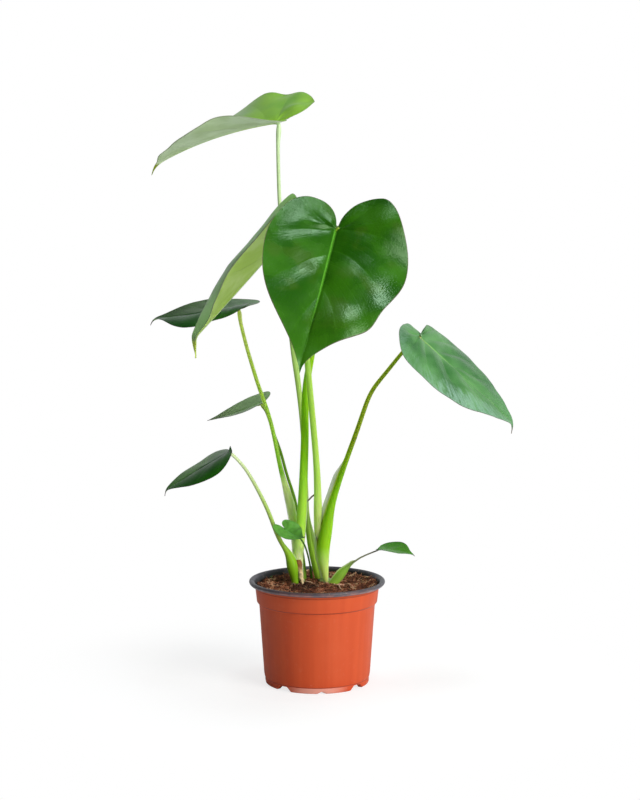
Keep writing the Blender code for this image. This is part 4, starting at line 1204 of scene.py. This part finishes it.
def fibre_material():
    """Coconut fibres from dark brown to straw, darker where it is wet."""
    shader = Shader("coir_fibre", 0.8, Specular_IOR_Level=0.3)
    place = shader.place()
    tint = shader.noise(place, 120.0, 2.0, 0.6)
    colour = shader.ramp(tint, [(0.3, "44241A"), (0.42, "8E5038"), (0.55, "C07C58"), (0.68, "ECC49C")])
    return shader.finish(shader.cover(colour, (shader.times(wet_share(shader, place), 0.8), "2A1A10")))


# ---------------------------------------------------------------- small parts at the soil
CROWN_RINGS = 40
CROWN_STEPS = 48
ROOT_POINTS = 40
ROOT_LIFT = 1.5                 # how high a root's middle lies over the smoothed growing mix
STICK_POINTS = 30
STUB_POINTS = 40
STUB_SIDES = 24
STUB_STRETCH = 1.2              # how much taller than its solid the stub looks
# heading, size in mm and lift of each small leaf of the seedling
SPROUT_LEAVES = ((0.4, 1.5, 0.55), (3.5, 1.4, 0.6), (1.9, 0.8, 1.2), (5.1, 0.8, 1.1))
SPROUT_ROWS = 9
SPROUT_COLS = 7


def build_crowns():
    """Short fleshy stems with old leaf scars, dark and wet at the foot."""
    for name, spec in CROWNS.items():
        height = np.linspace(SOIL_TOP - 6.0, spec["top"], CROWN_RINGS)[:, None]
        turn = full_turn(CROWN_STEPS)[None, :]
        share = (height - height[0]) / (height[-1] - height[0])
        dome = np.sqrt(np.clip(1.0 - ease((share - 0.55) / 0.45) ** 2, 0.0, 1.0))
        ridges = 1.0 + 0.03 * np.sin(height * 4.2) + 0.05 * value_noise(turn * 3.0, height, 5)
        radius = (spec["radius"] - 0.2) * dome * ridges
        x = spec["centre"][0] + radius * np.cos(turn)
        y = spec["centre"][1] + radius * np.sin(turn)
        add_piece(name + "_skin", np.stack([x, y, height + 0.0 * turn], -1),
                  grid_faces(CROWN_RINGS, CROWN_STEPS, around=True), [crown_material(name)], name)


def crown_material(name):
    """Green skin, brown up to a ragged line just over the growing mix."""
    shader = Shader(name + "_skin", 0.5)
    place = shader.place()
    height = shader.split(place)[2]
    uneven = shader.math("MULTIPLY_ADD", shader.noise(place, 300.0, 3.0), 0.006, height)
    colour = shader.mix(shader.range(uneven, 0.089, 0.094), "33241A", "A8C070")
    return shader.finish(colour, shader.bump(shader.noise(place, 900.0), 0.0004))


def build_roots():
    """Thin roots lying on the growing mix."""
    for name, plan in SURFACE_ROOTS.items():
        flat = smooth_path([(x, y, 0.0) for x, y in plan], ROOT_POINTS)
        wander = value_noise(np.linspace(0, 6, ROOT_POINTS), np.full(ROOT_POINTS, len(name) * 0.7), 21)
        x, y = flat[:, 0] + 0.5 * wander, flat[:, 1] + 0.5 * wander
        ground = np.convolve(np.pad(soil_height(x, y), 4, mode="edge"), np.full(9, 1 / 9), mode="valid")
        radii = ROOT_RADIUS * (0.95 - 0.6 * np.linspace(0, 1, ROOT_POINTS) ** 2)
        points, faces = thin_tube(np.stack([x, y, ground + ROOT_LIFT], -1), radii, 8)
        add_piece(name + "_strand", points, faces, [root_material(name)], name)


def build_stick():
    """A dry stick between the stalks."""
    points, faces = thin_tube(smooth_path(STICK_PATH, STICK_POINTS), np.linspace(0.5, 0.9, STICK_POINTS), 8)
    add_piece("dry_stick", points, faces, [husk_material("dry_stick", "8A7A64", "6A5444")])


def build_stub():
    """The crumpled dry sheath of an old leaf."""
    path = smooth_path(STUB_PATH, STUB_POINTS)
    foot = STUB_PATH[-1][2]
    path[:, 2] = foot + STUB_STRETCH * (path[:, 2] - foot)
    share = np.linspace(0.0, 1.0, STUB_POINTS)
    wide, thin = STUB_RADII
    radii = (wide + (thin - wide) * share) * (1.0 - 0.25 * bell(share, 0.0, 0.06))
    points, faces = thin_tube(path, radii, STUB_SIDES)
    places = np.array(points)
    outward = unit(places - np.repeat(path, STUB_SIDES, 0))
    crumple = 0.5 * value_noise(places[:, 0] * 1.4 + places[:, 1], places[:, 2] * 0.7, 9)[:, None]
    skin = husk_material("stub_husk", "ECD4A0", "8E5E2C")
    add_piece("stub_husk", places + outward * crumple, faces, [skin], "stub")


def root_material(name):
    """Pinkish cloudy root skin."""
    shader = Shader(name + "_skin", 0.6)
    tint = shader.noise(shader.place(), 240.0)
    return shader.finish(shader.mix(shader.range(tint, 0.35, 0.65), "CC8C70", "F4C8AC"))


def husk_material(name, low, high):
    """Dry papery skin that changes tint with height, with dark spots."""
    shader = Shader(name, 0.75)
    place = shader.place()
    height = shader.split(place)[2]
    spots = shader.noise(place, 500.0, 3.0)
    colour = shader.cover(
        shader.mix(shader.range(height, 0.096, 0.104), low, high),
        (shader.range(spots, 0.55, 0.68, 0.0, 0.6), "6A4426"))
    return shader.finish(colour, shader.bump(spots, 0.0006))


def build_seedling():
    """A sprout with two small round leaves and a first pair between them."""
    x0, y0 = SEEDLING_AT
    foot = np.array([x0, y0, SOIL_TOP - 0.5])
    stem = foot + np.array([[0, 0, k * 0.7] for k in range(5)])
    points, faces = thin_tube(stem, [0.3, 0.28, 0.26, 0.25, 0.24], 8)
    s = np.linspace(0.0, 1.0, SPROUT_ROWS)[:, None]
    w = np.linspace(-1.0, 1.0, SPROUT_COLS)[None, :]
    for turn, size, lift in SPROUT_LEAVES:
        out = size * s + 0.0 * w
        wide = size * 0.42 * np.sqrt(np.clip(s * (1.02 - s), 0.0, 1.0)) * 2.0 * w
        high = 2.6 + size * lift * s - 0.35 * size * s ** 2 + 0.12 * size * w ** 2
        x = x0 + out * math.cos(turn) - wide * math.sin(turn)
        y = y0 + out * math.sin(turn) + wide * math.cos(turn)
        for shift in (0.0, -0.12):
            start = len(points)
            points += np.stack([x, y, high + shift + foot[2]], -1).reshape(-1, 3).tolist()
            faces += grid_faces(SPROUT_ROWS, SPROUT_COLS, start, flip=shift < 0)
    shader = Shader("sprout", 0.45)
    tint = shader.range(shader.noise(shader.place(), 700.0), 0.35, 0.65)
    add_piece("seedling_leaves", points, faces, [shader.finish(shader.mix(tint, "4C7A2C", "84B050"))],
              "seedling")


# ---------------------------------------------------------------- stage
CAMERA_PLACE = (0.0026, -1.6, 0.427)
CAMERA_TILT = 6.28              # degrees below level
CAMERA_LENS = 82.85
ROOM_LIGHT = (0.09, 0.36)       # from the far left to the far right
BACKDROP_LIGHT = 0.7            # the white paper behind the plant
CEILING_LIGHT = 0.3             # how bright the dark ceiling is beside the walls
FLOOR_FADE = (0.07, 0.30)       # where the paper turns from shaded to plain white, metres
FLOOR_GLOW = 0.76
FLOOR_SHADE = 0.34
WHITE = (1.0, 1.0, 1.0, 1.0)
BLACK = (0.0, 0.0, 0.0, 1.0)
# name: place, aim, width and height in metres, watts, tint
LAMPS = {
    "softbox_right": ((1.45, -1.45, 0.9), (0.0, 0.0, 0.3), (1.2, 1.4), 41.0, (1.0, 0.98, 0.95)),
    "softbox_above": ((0.22, -0.02, 1.75), (0.0, 0.0, 0.4), (0.48, 0.42), 9.0, (0.86, 0.95, 1.0)),
}


def build_floor():
    """White paper with a soft shadow round the pot, plain white farther out and clear from below."""
    bpy.ops.mesh.primitive_plane_add(size=12.0, location=(0.0, 0.0, 0.0))
    floor = bpy.context.object
    floor.name = "floor"
    shader = Shader("floor_paper", 0.9, Specular_IOR_Level=0.0)
    shader.set("Base Color", (0.8, 0.8, 0.8, 1.0))
    far = shader.range(shader.length(shader.place()), *FLOOR_FADE)
    glow = shader.node("Emission", shader.mix(far, (*[FLOOR_GLOW] * 3, 1.0), WHITE))
    soft = shader.node("BsdfDiffuse", shader.mix(far, (*[FLOOR_SHADE] * 3, 1.0), BLACK))
    both = shader.node("AddShader", glow.outputs[0], soft.outputs[0])
    seen = shader.node("LightPath").outputs["Is Camera Ray"]
    paper = shader.node("MixShader", seen, shader.surface.outputs[0], both.outputs[0])
    below = shader.node("NewGeometry").outputs["Backfacing"]
    clear = shader.node("BsdfTransparent").outputs[0]
    shown = shader.node("MixShader", below, paper.outputs[0], clear)
    shader.feed(shader.tree.nodes["Material Output"].inputs["Surface"], shown.outputs[0])
    floor.data.materials.append(shader.material)


def build_room():
    """Soft light from the room, stronger from the right and from behind; plain white to the camera."""
    world = bpy.data.worlds.new("studio")
    bpy.context.scene.world = world
    world.use_nodes = True
    nodes = Nodes(world.node_tree)
    across, deep, high = nodes.split(nodes.node("TexCoord").outputs["Generated"])
    behind = nodes.range(deep, 0.15, 0.75, 0.0, BACKDROP_LIGHT)
    beside = nodes.range(across, -1.0, 1.0, *ROOM_LIGHT, kind="LINEAR")
    above = nodes.range(high, 0.35, 0.9, 1.0, CEILING_LIGHT)
    room = nodes.tree.nodes["Background"]
    nodes.feed(room.inputs["Color"], (0.94, 0.97, 1.0, 1.0))
    nodes.feed(room.inputs["Strength"], nodes.times(nodes.math("ADD", behind, beside), above))
    white = nodes.node("Background", WHITE)
    seen = nodes.node("LightPath").outputs["Is Camera Ray"]
    shown = nodes.node("MixShader", seen, room.outputs[0], white.outputs[0])
    nodes.feed(nodes.tree.nodes["World Output"].inputs["Surface"], shown.outputs[0])


def build_lamps():
    """Soft lamps to the right and above."""
    for label, (place, aim, size, power, tint) in LAMPS.items():
        data = bpy.data.lights.new(label, "AREA")
        data.shape = "RECTANGLE"
        data.size, data.size_y = size
        data.energy = power
        data.color = tint
        lamp = bpy.data.objects.new(label, data)
        lamp.location = place
        lamp.rotation_euler = (Vector(aim) - Vector(place)).to_track_quat("-Z", "Y").to_euler()
        bpy.context.scene.collection.objects.link(lamp)


def build_camera():
    """A camera at the photograph's viewing angle."""
    data = bpy.data.cameras.new("camera")
    data.lens = CAMERA_LENS
    data.sensor_width = 36.0
    data.clip_start, data.clip_end = 0.05, 30.0
    camera = bpy.data.objects.new("camera", data)
    camera.location = CAMERA_PLACE
    camera.rotation_euler = (math.radians(90.0 - CAMERA_TILT), 0.0, 0.0)
    bpy.context.scene.collection.objects.link(camera)
    bpy.context.scene.camera = camera
    bpy.context.scene.view_settings.view_transform = "Standard"


# ---------------------------------------------------------------- build
def main():
    for name in LEAVES:
        build_leaf(name)
    for name in STALKS:
        build_stalk(name)
    build_pot()
    build_soil()
    rng = np.random.default_rng(SEED)
    build_fibres(rng)
    build_chips(rng)
    build_crowns()
    build_roots()
    build_stick()
    build_stub()
    build_seedling()
    build_floor()
    build_room()
    build_lamps()
    build_camera()


main()
